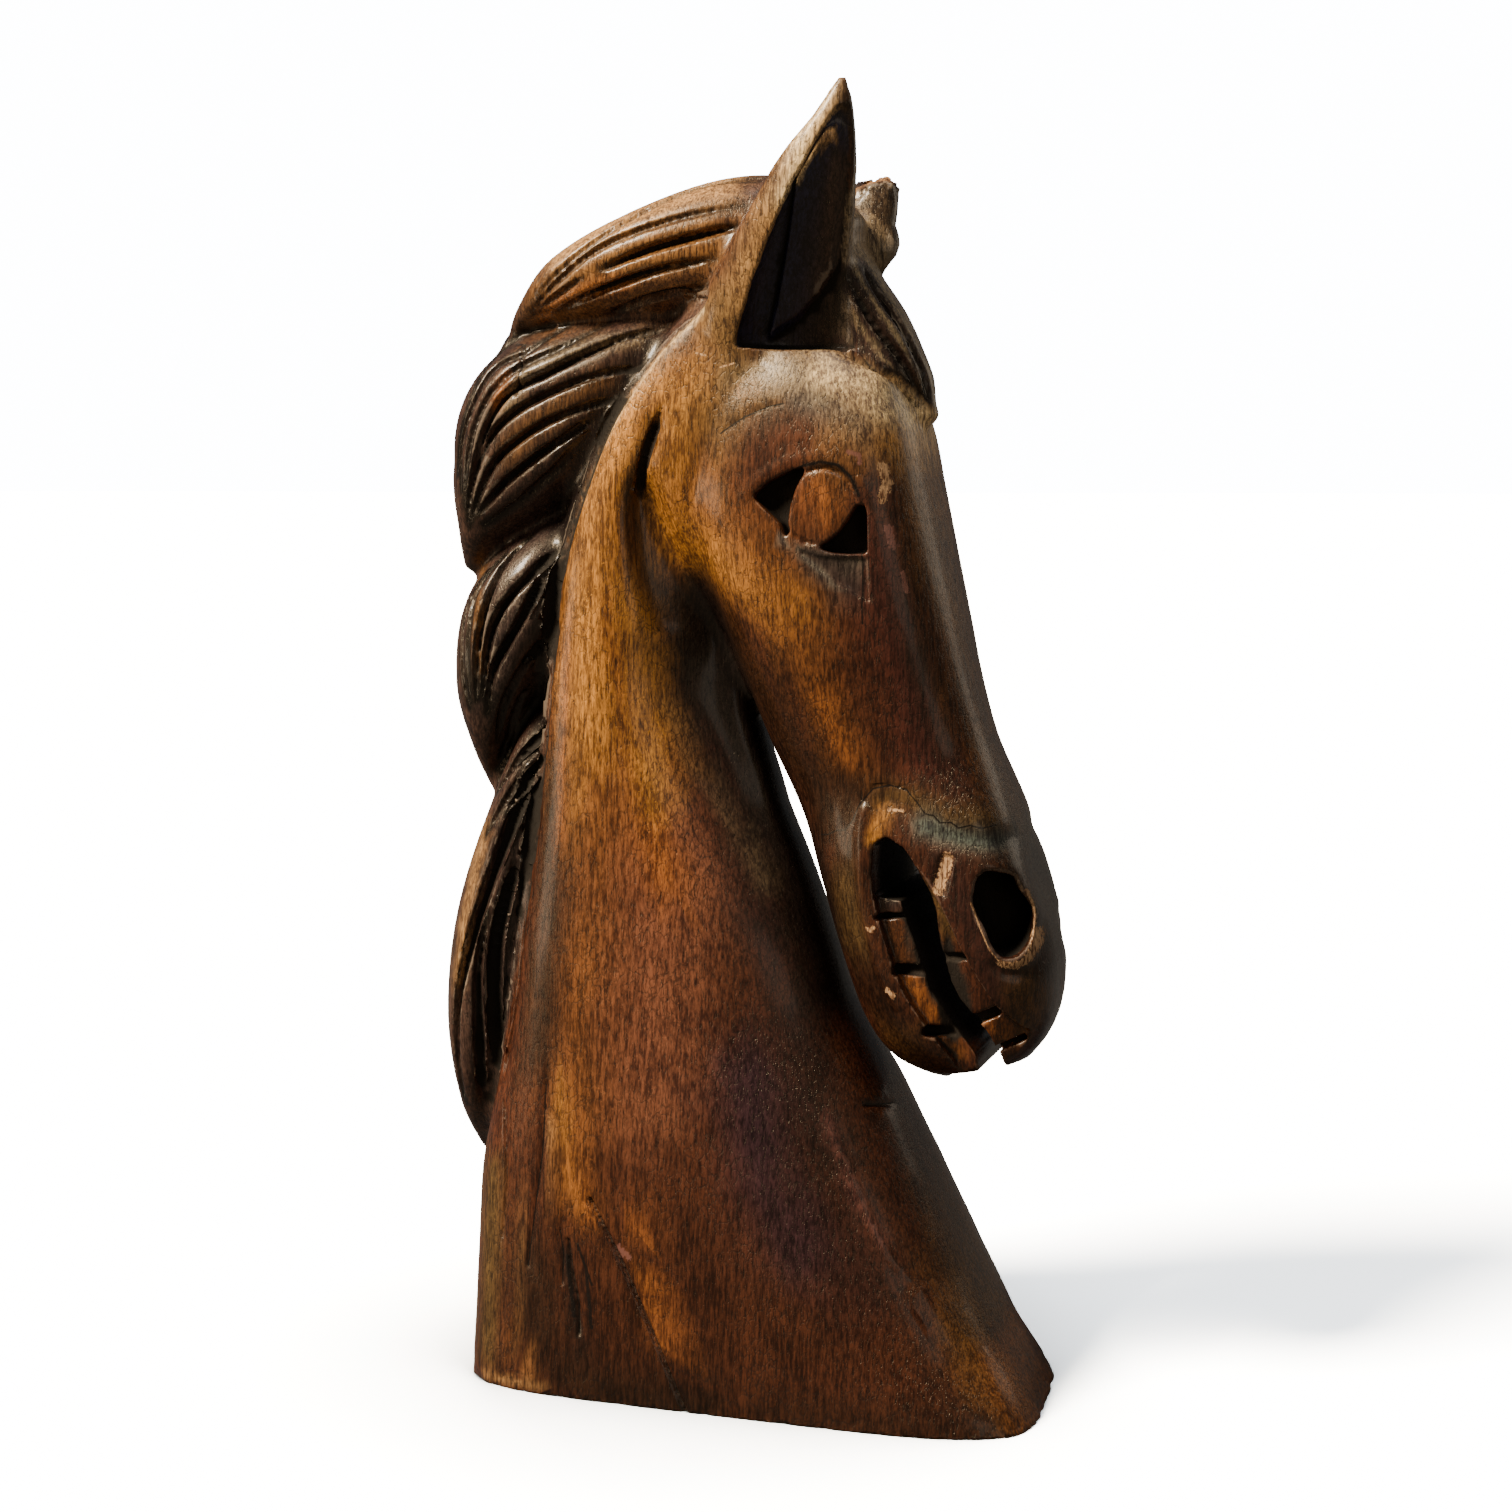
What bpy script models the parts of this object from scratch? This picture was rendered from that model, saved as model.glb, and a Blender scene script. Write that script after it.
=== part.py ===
"""Carved wooden horse head on its own neck, one block of wood standing on the sawn foot of the neck.

The horse faces +X and its right side faces -Y. The foot lies on z = 0 with the origin at its middle.
The carving is laid out on a drawing with 500 squares to the full height. The rows below are in squares,
and half thicknesses are shares of half the block's thickness.
"""

import math

import bmesh
import bpy
import numpy as np
from mathutils import Matrix, Vector
from mathutils.bvhtree import BVHTree

# Driving sizes, in metres
HEIGHT = 0.500
BLOCK_THICKNESS = 0.118
MOUTH_RECESS = 0.0045
TOOTH_GAP_DEPTH = 0.0035
TOOTH_GAP_WIDTH = 0.0040
NOSTRIL_DEPTH = 0.017
EYE_CUT_DEPTH = 0.0065
STRAND_CUT_DEPTH = 0.0064
STRAND_CUT_WIDTH = 0.0058
HAIRLINE_DEPTH = 0.0070
HAIRLINE_WIDTH = 0.0090
JAW_CUT_DEPTH = 0.0090
JAW_CUT_WIDTH = 0.0080
LID_CUT_DEPTH = 0.0026
LID_CUT_WIDTH = 0.0090
BROW_CUT_DEPTH = 0.0045
BROW_CUT_WIDTH = 0.0060
MUZZLE_CUT_DEPTH = 0.0024
MUZZLE_CUT_WIDTH = 0.0080
VALLEY_DEPTH = 0.0050
CHEEK_DEPTH = 0.0080

# The drawing's grid
SQUARE = HEIGHT / 500
HALF_BLOCK = BLOCK_THICKNESS / 2

# How finely the forms are merged, and how many triangles the finished solid may have
BLEND_VOXEL = HEIGHT / 200
BLEND_PASSES = 4
CARVE_VOXEL = HEIGHT / 440
FORM_TRIANGLES = 4200
MOST_TRIANGLES = 9900

# Neck, by height: z, back x, front x, half thickness, squareness, narrowing of the throat
NECK_ROWS = (
    (-12, -117, 118, 0.995, 4.6, 0.00),
    (0, -117, 111, 0.995, 4.4, 0.00),
    (24, -117, 96.3, 0.985, 3.6, 0.02),
    (52, -116, 81.5, 0.97, 3.3, 0.04),
    (90, -114, 64, 0.94, 3.1, 0.10),
    (120, -109, 49.5, 0.91, 2.9, 0.16),
    (148, -105, 33.5, 0.88, 2.8, 0.22),
    (172, -102, 25, 0.86, 2.7, 0.26),
    (200, -98, 15.5, 0.82, 2.7, 0.31),
    (230, -94, 3.5, 0.79, 2.6, 0.38),
    (280, -89, -8, 0.74, 2.6, 0.44),
    (330, -84, 10, 0.72, 2.6, 0.30),
    (375, -68, 25, 0.68, 2.5, 0.05),
    (412, -40, 25, 0.60, 2.4, 0.00),
    (436, -18, 16, 0.43, 2.2, 0.00),
)

FOOT_SKEW = 0.08

# Head along its axis from the poll to the lips: distance, jaw offset, brow offset, half thickness, squareness
HEAD_TOP = (5, 425)
HEAD_END = (98, 135)
HEAD_ROWS = (
    (6, -26, 8, 0.30, 2.2),
    (15, -42, 21, 0.52, 2.4),
    (34, -52, 31, 0.67, 2.8),
    (50, -60, 35.5, 0.73, 3.1),
    (66, -64, 36, 0.76, 3.3),
    (84, -63, 34, 0.76, 3.3),
    (110, -61, 31.5, 0.74, 3.2),
    (139, -57.5, 29, 0.69, 3.1),
    (162, -55.5, 27, 0.62, 3.1),
    (184, -52.5, 26.5, 0.57, 3.1),
    (198, -51, 27.5, 0.59, 3.4),
    (212, -51, 28.5, 0.63, 3.8),
    (235, -51.5, 28.5, 0.64, 4.0),
    (256, -51.5, 28.5, 0.63, 3.8),
    (272, -51, 27, 0.60, 3.4),
    (284, -48.5, 23.5, 0.56, 3.1),
    (293, -44, 19, 0.50, 2.8),
    (301, -35, 12, 0.42, 2.6),
    (307, -25, 3, 0.28, 2.3),
)
JAW_NARROWING = 0.08

# Ear by height: z, back x, front x, half depth; the middle of the ear leans outwards from foot to tip
EAR_ROWS = (
    (378, -2, 26, 6),
    (395, -12, 34, 11),
    (412, -18, 38, 14),
    (425, -15, 39, 14),
    (445, -5, 40.5, 13),
    (457, 3, 41.5, 11.5),
    (473, 13, 42, 8.5),
    (489, 26.5, 41, 5),
    (503.5, 36, 38, 1.2),
)
EAR_FOOT_Y = 21
EAR_TIP_Y = 37
EAR_TURN = math.radians(25)
EAR_HOLLOW_ROWS = (
    (401, 2, 38, 7),
    (404, -2, 40, 11),
    (420, 3, 40, 11),
    (435, 9, 41, 10),
    (460, 21, 42, 7),
    (478, 31, 42, 4.5),
    (492, 37, 40.5, 1.2),
)
FAR_EAR_SHIFT = 1.5
BREAK_HEIGHT = 471

# Mane locks from root to tip: x, z, half width across, half thickness
LOCK_ROWS = {
    "poll": ((34, 445, 8, 0.22), (14, 448, 20, 0.37), (-14, 445, 25, 0.50), (-50, 437, 22, 0.58),
             (-78, 429, 15.5, 0.56), (-94, 420, 8, 0.44), (-104, 412, 3, 0.30)),
    "crown": ((-25, 394, 28, 0.44), (-58, 388, 32, 0.60), (-91, 375, 36, 0.68), (-107, 352, 25, 0.64),
              (-116, 333, 12, 0.52), (-122, 318, 4, 0.33)),
    "crest": ((-50, 325, 24, 0.46), (-75, 316, 28, 0.64), (-97, 299, 29, 0.70), (-109, 275, 20, 0.66),
              (-112, 252, 10, 0.54), (-112, 232, 3, 0.33)),
    "tail": ((-60, 276, 20, 0.46), (-81, 252, 20, 0.60), (-96, 216, 21, 0.70), (-107, 178, 22, 0.74),
             (-112, 140, 21, 0.72), (-116, 108, 13, 0.58), (-119, 82, 3, 0.29)),
}
FORELOCK_ROWS = ((11, 451, 10, 0.21), (21, 440, 13, 0.33), (31, 421, 14, 0.37), (43, 403, 12, 0.31),
                 (54, 388, 8, 0.19), (63, 376, 3, 0.06))

# Gouge lines between the strands: share of the cut's width, then x, z, distance from the middle of the block
STRANDS = (
    (0.75, (-2, 467, 16), (-27, 465, 18), (-53, 452, 28), (-78, 433, 33), (-90, 422, 29)),
    (0.80, (-5, 457, 26), (-32, 452, 30), (-59, 443, 33), (-80, 428, 33), (-91, 418, 27)),
    (1.00, (-6, 449, 28), (-20, 446, 30), (-43, 440, 34), (-60, 433, 34)),
    (0.70, (-66, 431, 34), (-77, 425, 32), (-88, 419, 28)),
    (1.00, (-15, 437, 30), (-40, 432, 33), (-64, 424, 32), (-80, 418, 27)),
    (1.00, (-18, 427, 26), (-41, 423, 27), (-58, 418, 24)),
    (0.75, (-84, 415, 14), (-95, 411, 13), (-109, 401, 22), (-115, 386, 31), (-120, 368, 33), (-120, 357, 32)),
    (0.75, (-78, 414, 21), (-91, 404, 30), (-105, 398, 30), (-113, 384, 34), (-118, 367, 34), (-118, 350, 34)),
    (0.80, (-61, 414, 23), (-77, 405, 31), (-95, 397, 35), (-105, 387, 37), (-112, 370, 37), (-117, 344, 34)),
    (1.00, (-37, 413, 22), (-55, 408, 29), (-80, 396, 37), (-96, 388, 38), (-106, 373, 39), (-116, 341, 34)),
    (0.90, (-44, 398, 31), (-68, 392, 37), (-92, 381, 40), (-104, 370, 40), (-112, 354, 37), (-116, 338, 33)),
    (0.90, (-53, 386, 34), (-76, 378, 39), (-92, 369, 40), (-104, 358, 39), (-115, 337, 32)),
    (1.00, (-61, 378, 36), (-83, 364, 38), (-99, 352, 38), (-111, 341, 34)),
    (0.80, (-66, 370, 35), (-79, 357, 35), (-93, 346, 34), (-109, 337, 33)),
    (0.75, (-112, 322, 30), (-118, 304, 32), (-118, 286, 36), (-115, 266, 37)),
    (0.75, (-104, 328, 30), (-112, 311, 33), (-114, 294, 38), (-114, 268, 37)),
    (1.05, (-93, 334, 27), (-101, 322, 34), (-106, 308, 39), (-109, 292, 40), (-111, 269, 38)),
    (1.10, (-78, 329, 34), (-91, 315, 40), (-99, 305, 41), (-104, 293, 41), (-108, 270, 38)),
    (1.05, (-82, 319, 39), (-89, 304, 41), (-96, 292, 41), (-103, 280, 40), (-107, 264, 36)),
    (0.90, (-80, 295, 37), (-93, 279, 36), (-101, 267, 33), (-106, 252, 28)),
    (0.90, (-80, 283, 38), (-92, 268, 30), (-102, 256, 24), (-108, 241, 22)),
    (0.80, (-79, 268, 40), (-91, 253, 34), (-101, 239, 33), (-106, 232, 31)),
    (0.80, (-80, 256, 41), (-90, 240, 38), (-98, 226, 40)),
    (0.75, (-93, 240, 37), (-101, 228, 38), (-108, 216, 37)),
    (1.30, (-90, 237, 38), (-97, 219, 41), (-106, 194, 43), (-114, 170, 43), (-120, 145, 41), (-121, 106, 32)),
    (0.90, (-105, 187, 43), (-109, 164, 44), (-110, 136, 42), (-112, 108, 35)),
    (1.05, (-93, 206, 42), (-100, 182, 43), (-103, 155, 42), (-104, 125, 38)),
    (1.10, (-84, 224, 41), (-90, 189, 41), (-93, 164, 43), (-96, 140, 43), (-99, 120, 43)),
    (1.00, (38, 434, 11), (46, 421, 12), (54, 404, 8), (63, 384, 6)),
    (1.00, (33, 431, 20), (45, 411, 18), (54, 396, 13), (62, 381, 6)),
    (1.00, (32, 413, 21), (46, 397, 22), (55, 386, 10), (60, 381, 7)),
)
# Cuts along the back of the mane, as turns about a lock's own length from the middle of the back
BACK_TURNS = {"poll": (0.0, 0.42), "crown": (0.0, 0.30), "crest": (0.0, 0.30), "tail": (0.0, 0.30, 0.60)}

# The edge of the smooth neck behind the ear and along the mane, seen from the side
HAIRLINE = ((14, 473), (5, 457), (-5, 446), (-13, 428), (-18, 419), (-34, 405), (-48, 387), (-58, 370),
            (-67, 347), (-74, 324), (-78, 293), (-81, 270), (-83, 247), (-86, 219), (-90, 191), (-96, 151),
            (-103, 118), (-110, 86))
FOREHEAD_EDGE = ((30, 407), (37, 402), (46, 396), (55, 390), (62, 382))
JAW_CUT = ((-33, 380), (-37, 368), (-39, 354), (-37, 340), (-28, 326))
CHEEK_VALLEY = ((-37, 360, 0.0, 6), (-39, 345, 0.8, 7), (-31, 322, 1.0, 9), (-20, 298, 0.9, 9),
                (-12, 280, 0.4, 8), (-8, 268, 0.0, 8))
NECK_VALLEY = ((-40, 345, 0.5, 9), (-37, 320, 0.9, 12), (-26, 280, 1.0, 15), (-8, 242, 1.0, 16),
               (10, 208, 0.8, 15), (30, 179, 0.5, 13), (54, 138, 0.1, 12))

# Face, seen from the side
EYE = ((3.5, 349), (10.8, 354.8), (20.5, 359.3), (30, 362), (37, 361.6), (42, 358), (45, 352), (47.3, 345),
       (48, 328), (33, 327), (23.4, 329), (17, 332.6), (15.7, 338), (8.9, 343.7))
EYEBALL = ((24.6, 357.2), (30.1, 358.4), (36.0, 357.8), (40.4, 354), (42.8, 348), (42, 343.8),
           (38.8, 339.4), (33.1, 334), (27.9, 332.2), (22, 334.8), (19, 338.8), (20, 344.6), (21.8, 350.8))
LOWER_LID = ((9, 342), (17, 331), (30, 323), (42, 317), (49, 309))
NOSTRIL = ((87.3, 203.5), (88.5, 209.2), (92.3, 212), (97, 211), (101, 207.5), (104.5, 202.5), (107, 196.5),
           (108.3, 190), (107.8, 183.5), (105, 179), (101, 177.6), (97.5, 179), (94.5, 182.8), (91.9, 189),
           (88.8, 194.5), (87.2, 199.4))
NOSTRIL_TURN = math.radians(22)
MUZZLE_STEP = ((27, 220.5), (34, 222.4), (40.5, 226.8), (43.8, 232.8), (48.6, 240), (55.1, 241.6), (61.6, 240),
               (66.2, 234.5), (71.8, 230), (77.2, 228.3), (83.3, 227.4), (89.2, 227.1), (94.3, 227.5))
LIPS = ((50, 220), (54.4, 222.4), (61.2, 218.9), (65.6, 213), (70.9, 205.7), (76.7, 195.6), (82.5, 183.7),
        (89.3, 170.9), (96.1, 160), (104.7, 151), (112, 145), (112, 110), (88, 110), (78.5, 137),
        (71.3, 147.9), (66.4, 155.2), (61.6, 162.5), (57.6, 171.8), (54.7, 181.2), (51.7, 190.5), (49.7, 199.9),
        (48.9, 209.4))
SLIT = ((49.5, 219.3), (54, 221.5), (60.1, 218.3), (66, 209.6), (70.4, 202.2), (72.9, 194.8), (73.9, 185.4),
        (75.9, 176), (77.9, 167.5), (81.8, 160.2), (87.6, 153.9), (92.4, 147.6), (96, 139), (97, 120),
        (90, 120), (86.8, 139.5), (79, 149.5), (75.1, 156.9), (70.2, 164.2), (67.7, 171.7), (64.7, 182),
        (61.3, 190.4), (59.3, 197.9), (49.6, 199), (48.6, 208.8))
TEETH_UNDERSIDE = ((73.5, 115), (73.5, 129.5), (87, 132.3), (89, 137), (94, 137), (94, 115))
# Gaps between teeth: two ends, and the share of the gap's width
TOOTH_GAPS = ((49, 191.4, 63, 192.6, 0.6), (56, 171.8, 70, 171.5, 1.15), (67, 148.6, 80.5, 147.6, 1.1),
              (74, 177.0, 86, 178.1, 0.8), (84, 152.0, 97, 158.0, 1.1), (93, 141.4, 106, 147.2, 0.7))


def spline(rows, steps):
    """Catmull-Rom curve through the rows at even steps of row number."""
    rows = np.asarray(rows, float)
    padded = np.vstack((2 * rows[0] - rows[1], rows, 2 * rows[-1] - rows[-2]))
    place = np.asarray(steps, float) * (len(rows) - 1)
    start = np.clip(place.astype(int), 0, len(rows) - 2)
    f = (place - start)[..., None]
    p0, p1, p2, p3 = (padded[start + k] for k in range(4))
    return 0.5 * (2 * p1 + (p2 - p0) * f + (2 * p0 - 5 * p1 + 4 * p2 - p3) * f**2
                  + (3 * p1 - p0 - 3 * p2 + p3) * f**3)


def by_first_column(rows, value):
    """The other columns of the rows at a value of the first one, on a smooth curve."""
    rows = np.asarray(rows, float)
    place = np.interp(value, rows[:, 0], np.linspace(0, 1, len(rows)))
    return spline(rows, place)[..., 1:]


def rounded(turn, squareness):
    """Across and sideways shares of a superellipse at an angle."""
    power = 2 / squareness
    across = np.sign(np.cos(turn)) * np.abs(np.cos(turn)) ** power
    side = np.sign(np.sin(turn)) * np.abs(np.sin(turn)) ** power
    return across, side


def smooth_step(low, high, value):
    share = np.clip((value - low) / (high - low), 0, 1)
    return share * share * (3 - 2 * share)


def coordinates(mesh):
    flat = np.empty(len(mesh.vertices) * 3, np.float32)
    mesh.vertices.foreach_get("co", flat)
    return flat.reshape(-1, 3).astype(float)


def set_coordinates(mesh, points):
    mesh.vertices.foreach_set("co", np.asarray(points, np.float32).ravel())
    mesh.update()


def placed_sphere(name, place, around=96, along=96):
    """A ball whose every point is moved to place(share of the way along, angle around)."""
    mesh = bpy.data.meshes.new(name)
    ball = bmesh.new()
    bmesh.ops.create_uvsphere(ball, u_segments=around, v_segments=along, radius=1)
    ball.to_mesh(mesh)
    ball.free()
    points = coordinates(mesh)
    share = np.arccos(np.clip(-points[:, 2], -1, 1)) / math.pi
    turn = np.arctan2(points[:, 1], points[:, 0])
    set_coordinates(mesh, place(share, turn))
    return mesh


def neck_place(share, turn):
    """The neck; its foot is sawn a little askew, so that the front corner of one side stands forward."""
    lowest, highest = NECK_ROWS[0][0], NECK_ROWS[-1][0]
    height = lowest + (highest - lowest) * share
    back, front, half, square, throat = by_first_column(NECK_ROWS, height).T
    square = np.where(np.cos(turn) < 0, square + 1.2, square)
    across, side = rounded(turn, square)
    x = (back + front) / 2 + (front - back) / 2 * across
    slim = 1 - throat * smooth_step(-0.3, 0.9, across)
    y = side * half * slim * HALF_BLOCK
    skew = FOOT_SKEW * smooth_step(-0.2, 0.8, across) * (1 - smooth_step(0, 60, height))
    return np.column_stack((x * SQUARE - skew * y, y, height * SQUARE))


def head_axes():
    top, end = np.array(HEAD_TOP, float), np.array(HEAD_END, float)
    along = (end - top) / np.linalg.norm(end - top)
    return top, along, np.array((-along[1], along[0]))


def head_place(share, turn):
    top, along, ahead = head_axes()
    first, last = HEAD_ROWS[0][0], HEAD_ROWS[-1][0]
    distance = first + (last - first) * share
    jaw, brow, half, square = by_first_column(HEAD_ROWS, distance).T
    across, side = rounded(turn, square)
    offset = (jaw + brow) / 2 + (brow - jaw) / 2 * across
    slim = 1 - JAW_NARROWING * smooth_step(0.1, 1.0, -across)
    flat = top + distance[:, None] * along + offset[:, None] * ahead
    return np.column_stack((flat[:, 0] * SQUARE, side * half * slim * HALF_BLOCK, flat[:, 1] * SQUARE))


def ear_place(rows, hand, shift, outward=0.0):
    """Ear or ear hollow as a leaning cone; outward moves its middle towards the open side."""
    def place(share, turn):
        lowest, highest = rows[0][0], rows[-1][0]
        height = lowest + (highest - lowest) * share
        back, front, depth = by_first_column(rows, height).T
        middle_y = EAR_FOOT_Y + (EAR_TIP_Y - EAR_FOOT_Y) * smooth_step(400, 500, height)
        ear_depth = by_first_column(EAR_ROWS, height).T[2]
        whole_back, whole_front, _ = by_first_column(EAR_ROWS, np.clip(height, EAR_ROWS[0][0], 500)).T
        middle_x = (whole_back + whole_front) / 2 - 0.32 * (36 - middle_y)
        lateral = (back + front - whole_back - whole_front) / 2 + (front - back) / 2 * np.cos(turn)
        level = np.sin(turn) * depth + outward * ear_depth
        x = middle_x + lateral * math.cos(EAR_TURN) + level * math.sin(EAR_TURN)
        y = middle_y - lateral * math.sin(EAR_TURN) + level * math.cos(EAR_TURN)
        return np.column_stack(((x + shift) * SQUARE, hand * y * SQUARE, height * SQUARE))
    return place


def lock_frame(rows, share):
    """Middle, direction across, half width and half thickness of a lock at a share of its length."""
    middle = spline(rows, share)
    step = spline(rows, np.clip(share + 0.01, 0, 1)) - spline(rows, np.clip(share - 0.01, 0, 1))
    forward = step[:, :2] / np.linalg.norm(step[:, :2], axis=1)[:, None]
    outward = np.column_stack((forward[:, 1], -forward[:, 0]))
    return middle[:, :2], outward, middle[:, 2], middle[:, 3]


def lock_place(rows):
    def place(share, turn):
        middle, outward, width, thick = lock_frame(rows, share)
        across, side = rounded(turn, 2.4)
        flat = middle + outward * (width * across)[:, None]
        return np.column_stack((flat[:, 0] * SQUARE, side * thick * HALF_BLOCK, flat[:, 1] * SQUARE))
    return place


def joined(meshes, name):
    """One mesh that holds all of the meshes, with faces out."""
    whole = bmesh.new()
    for mesh in meshes:
        whole.from_mesh(mesh)
    bmesh.ops.triangulate(whole, faces=[face for face in whole.faces if len(face.verts) > 4])
    bmesh.ops.recalc_face_normals(whole, faces=whole.faces)
    mesh = bpy.data.meshes.new(name)
    whole.to_mesh(mesh)
    whole.free()
    return mesh


def new_object(name, mesh, collection):
    obj = bpy.data.objects.new(name, mesh)
    collection.objects.link(obj)
    return obj


def apply_modifiers(obj):
    graph = bpy.context.evaluated_depsgraph_get()
    mesh = bpy.data.meshes.new_from_object(obj.evaluated_get(graph))
    obj.modifiers.clear()
    obj.data = mesh


def blend(obj, voxel, passes):
    merge = obj.modifiers.new("merge", "REMESH")
    merge.mode = "VOXEL"
    merge.voxel_size = voxel
    soften = obj.modifiers.new("soften", "SMOOTH")
    soften.factor = 0.5
    soften.iterations = passes
    apply_modifiers(obj)


def thin_out(obj, triangles):
    """Keep the shape and drop faces until the number of triangles is at most the one given."""
    now = sum(len(face.vertices) - 2 for face in obj.data.polygons)
    if now > triangles:
        thin = obj.modifiers.new("thin out", "DECIMATE")
        thin.ratio = triangles / now
        thin.use_collapse_triangulate = True
        apply_modifiers(obj)


def near_line(points, line):
    """Distance from each point to a line in the side view, and the line's other columns there."""
    line = np.asarray(line, float)
    path = spline(line, np.linspace(0, 1, 8 * len(line)))
    gap = np.linalg.norm(points[:, None, :] - path[None, :, :2], axis=2)
    nearest = gap.argmin(axis=1)
    return gap[np.arange(len(points)), nearest], path[nearest, 2:]


def sink_valley(obj, line, depth):
    """Press a soft valley along a line into both sides."""
    points = coordinates(obj.data)
    gap, columns = near_line(points[:, (0, 2)] / SQUARE, line)
    share, width = columns.T
    clear_of_middle = smooth_step(0.12, 0.40, np.abs(points[:, 1]) / HALF_BLOCK)
    sink = depth * share * np.exp(-((gap / width) ** 2)) * clear_of_middle
    points[:, 1] -= np.sign(points[:, 1]) * sink
    set_coordinates(obj.data, points)


class Surface:
    """Finds points and directions on the blended form."""

    def __init__(self, obj):
        triangles = bmesh.new()
        triangles.from_mesh(obj.data)
        self.tree = BVHTree.FromBMesh(triangles)
        triangles.free()

    def from_side(self, x, z, hand):
        start = Vector((x * SQUARE, hand * 0.3, z * SQUARE))
        place, direction, _, _ = self.tree.ray_cast(start, Vector((0, -hand, 0)))
        return (place, direction) if place else (None, None)

    def nearest(self, place):
        found, direction, _, gap = self.tree.find_nearest(place)
        return found, direction, gap


def blade(name, places, directions, width, depth, lean=0.0, along=12):
    """Gouge cut along places on the surface: an edge below the surface that flares above it."""
    places = np.array(places, float)
    directions = np.array(directions, float)

    def place(share, turn):
        centre = spline(places, share)
        out = spline(directions, share)
        out = out / np.linalg.norm(out, axis=1)[:, None]
        step = spline(places, np.clip(share + 0.03, 0, 1)) - spline(places, np.clip(share - 0.03, 0, 1))
        step = step / np.linalg.norm(step, axis=1)[:, None]
        across = np.cross(step, out)
        full = np.clip(np.sin(math.pi * np.clip(share, 0, 1)), 0, 1) ** 0.55
        level = np.cos(turn)
        sideways = np.sin(turn)
        rise = np.where(level > 0.5, -depth * full, np.where(level < -0.5, 0.004, 0.0006))
        shift = sideways * width / 2 * full + np.where(level > 0.5, lean * width * full, 0)
        return centre + out * rise[:, None] + across * shift[:, None]
    return placed_sphere(name, place, 4, along)


def strand_cuts(surface, hand):
    """Gouge cuts between the strands of the mane and forelock on one side."""
    cuts = []
    for share, *line in STRANDS:
        places = []
        directions = []
        for x, z, y in spline(line, np.linspace(0, 1, 4 * len(line))):
            found, direction, _ = surface.nearest(Vector((x, hand * y, z)) * SQUARE)
            places.append(found)
            directions.append(direction)
        cuts.append(blade("strand cut", places, directions, share * STRAND_CUT_WIDTH, STRAND_CUT_DEPTH, 0.25))
    return cuts


def back_cuts(surface, hand):
    """Gouge cuts along the back of each lock; the middle one belongs to one side only."""
    cuts = []
    for name, turns in BACK_TURNS.items():
        for turn in turns[1 if hand > 0 else 0:]:
            places = []
            directions = []
            for point in lock_place(LOCK_ROWS[name])(np.linspace(0.06, 0.93, 40), np.full(40, turn)):
                found, direction, gap = surface.nearest(Vector((point[0], hand * point[1], point[2])))
                if gap < 0.0040:
                    places.append(found)
                    directions.append(direction)
            if len(places) > 8:
                cuts.append(blade("back cut", places, directions, 0.8 * STRAND_CUT_WIDTH, STRAND_CUT_DEPTH))
    return cuts


def line_cut(surface, line, hand, width, depth, lean, along=16):
    places = []
    directions = []
    for x, z in spline(line, np.linspace(0, 1, 3 * len(line))):
        place, direction = surface.from_side(x, z, hand)
        if place:
            places.append(place)
            directions.append(direction)
    return blade("line cut", places, directions, width, depth, lean, along)


def side_prism(surface, name, outline, hand, depth, draft=1.0, floor=None):
    """Straight-sided cutter through the side, as deep as depth below the surface or down to a floor."""
    outline = np.array(outline, float)
    middle = outline.mean(axis=0)
    cutter = bmesh.new()
    bmesh.ops.create_circle(cutter, cap_ends=True, segments=len(outline), radius=1)
    outer = list(cutter.verts)
    for vert, (x, z) in zip(outer, outline):
        vert.co = (x * SQUARE, hand * 0.075, z * SQUARE)
    grown = bmesh.ops.extrude_face_region(cutter, geom=cutter.faces[:])
    inner = [item for item in grown["geom"] if isinstance(item, bmesh.types.BMVert)]
    for vert in inner:
        x, z = vert.co.x / SQUARE, vert.co.z / SQUARE
        place, _ = surface.from_side(x, z, hand)
        x, z = middle + (np.array((x, z)) - middle) * draft
        if floor is None:
            level = abs(place.y) - depth if place else 0.020
        else:
            level = floor
        vert.co = (x * SQUARE, hand * level, z * SQUARE)
    bmesh.ops.triangulate(cutter, faces=cutter.faces[:])
    bmesh.ops.recalc_face_normals(cutter, faces=cutter.faces[:])
    mesh = bpy.data.meshes.new(name)
    cutter.to_mesh(mesh)
    cutter.free()
    return mesh


def nostril_cut(surface, hand):
    """Blind oval hole that runs back and inwards from the side of the muzzle."""
    rim = []
    for x, z in closed_curve(NOSTRIL, 24):
        place, _ = surface.from_side(x, z, hand)
        rim.append(place)
    inward = Vector((-math.sin(NOSTRIL_TURN), -hand * math.cos(NOSTRIL_TURN), 0))
    middle = sum(rim, Vector()) / len(rim)
    hole = bmesh.new()
    bmesh.ops.create_circle(hole, cap_ends=True, segments=len(rim), radius=1)
    outer = list(hole.verts)
    grown = bmesh.ops.extrude_face_region(hole, geom=hole.faces[:])
    inner = [item for item in grown["geom"] if isinstance(item, bmesh.types.BMVert)]
    inner.sort(key=lambda vert: min(range(len(outer)), key=lambda k: (outer[k].co - vert.co).length))
    for number, place in enumerate(rim):
        from_middle = place - middle
        level = from_middle - inward * from_middle.dot(inward)
        outer[number].co = place - inward * 0.030
        inner[number].co = middle + level * 0.85 + inward * NOSTRIL_DEPTH
    bmesh.ops.triangulate(hole, faces=hole.faces[:])
    bmesh.ops.recalc_face_normals(hole, faces=hole.faces[:])
    mesh = bpy.data.meshes.new("nostril")
    hole.to_mesh(mesh)
    hole.free()
    return mesh


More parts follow.
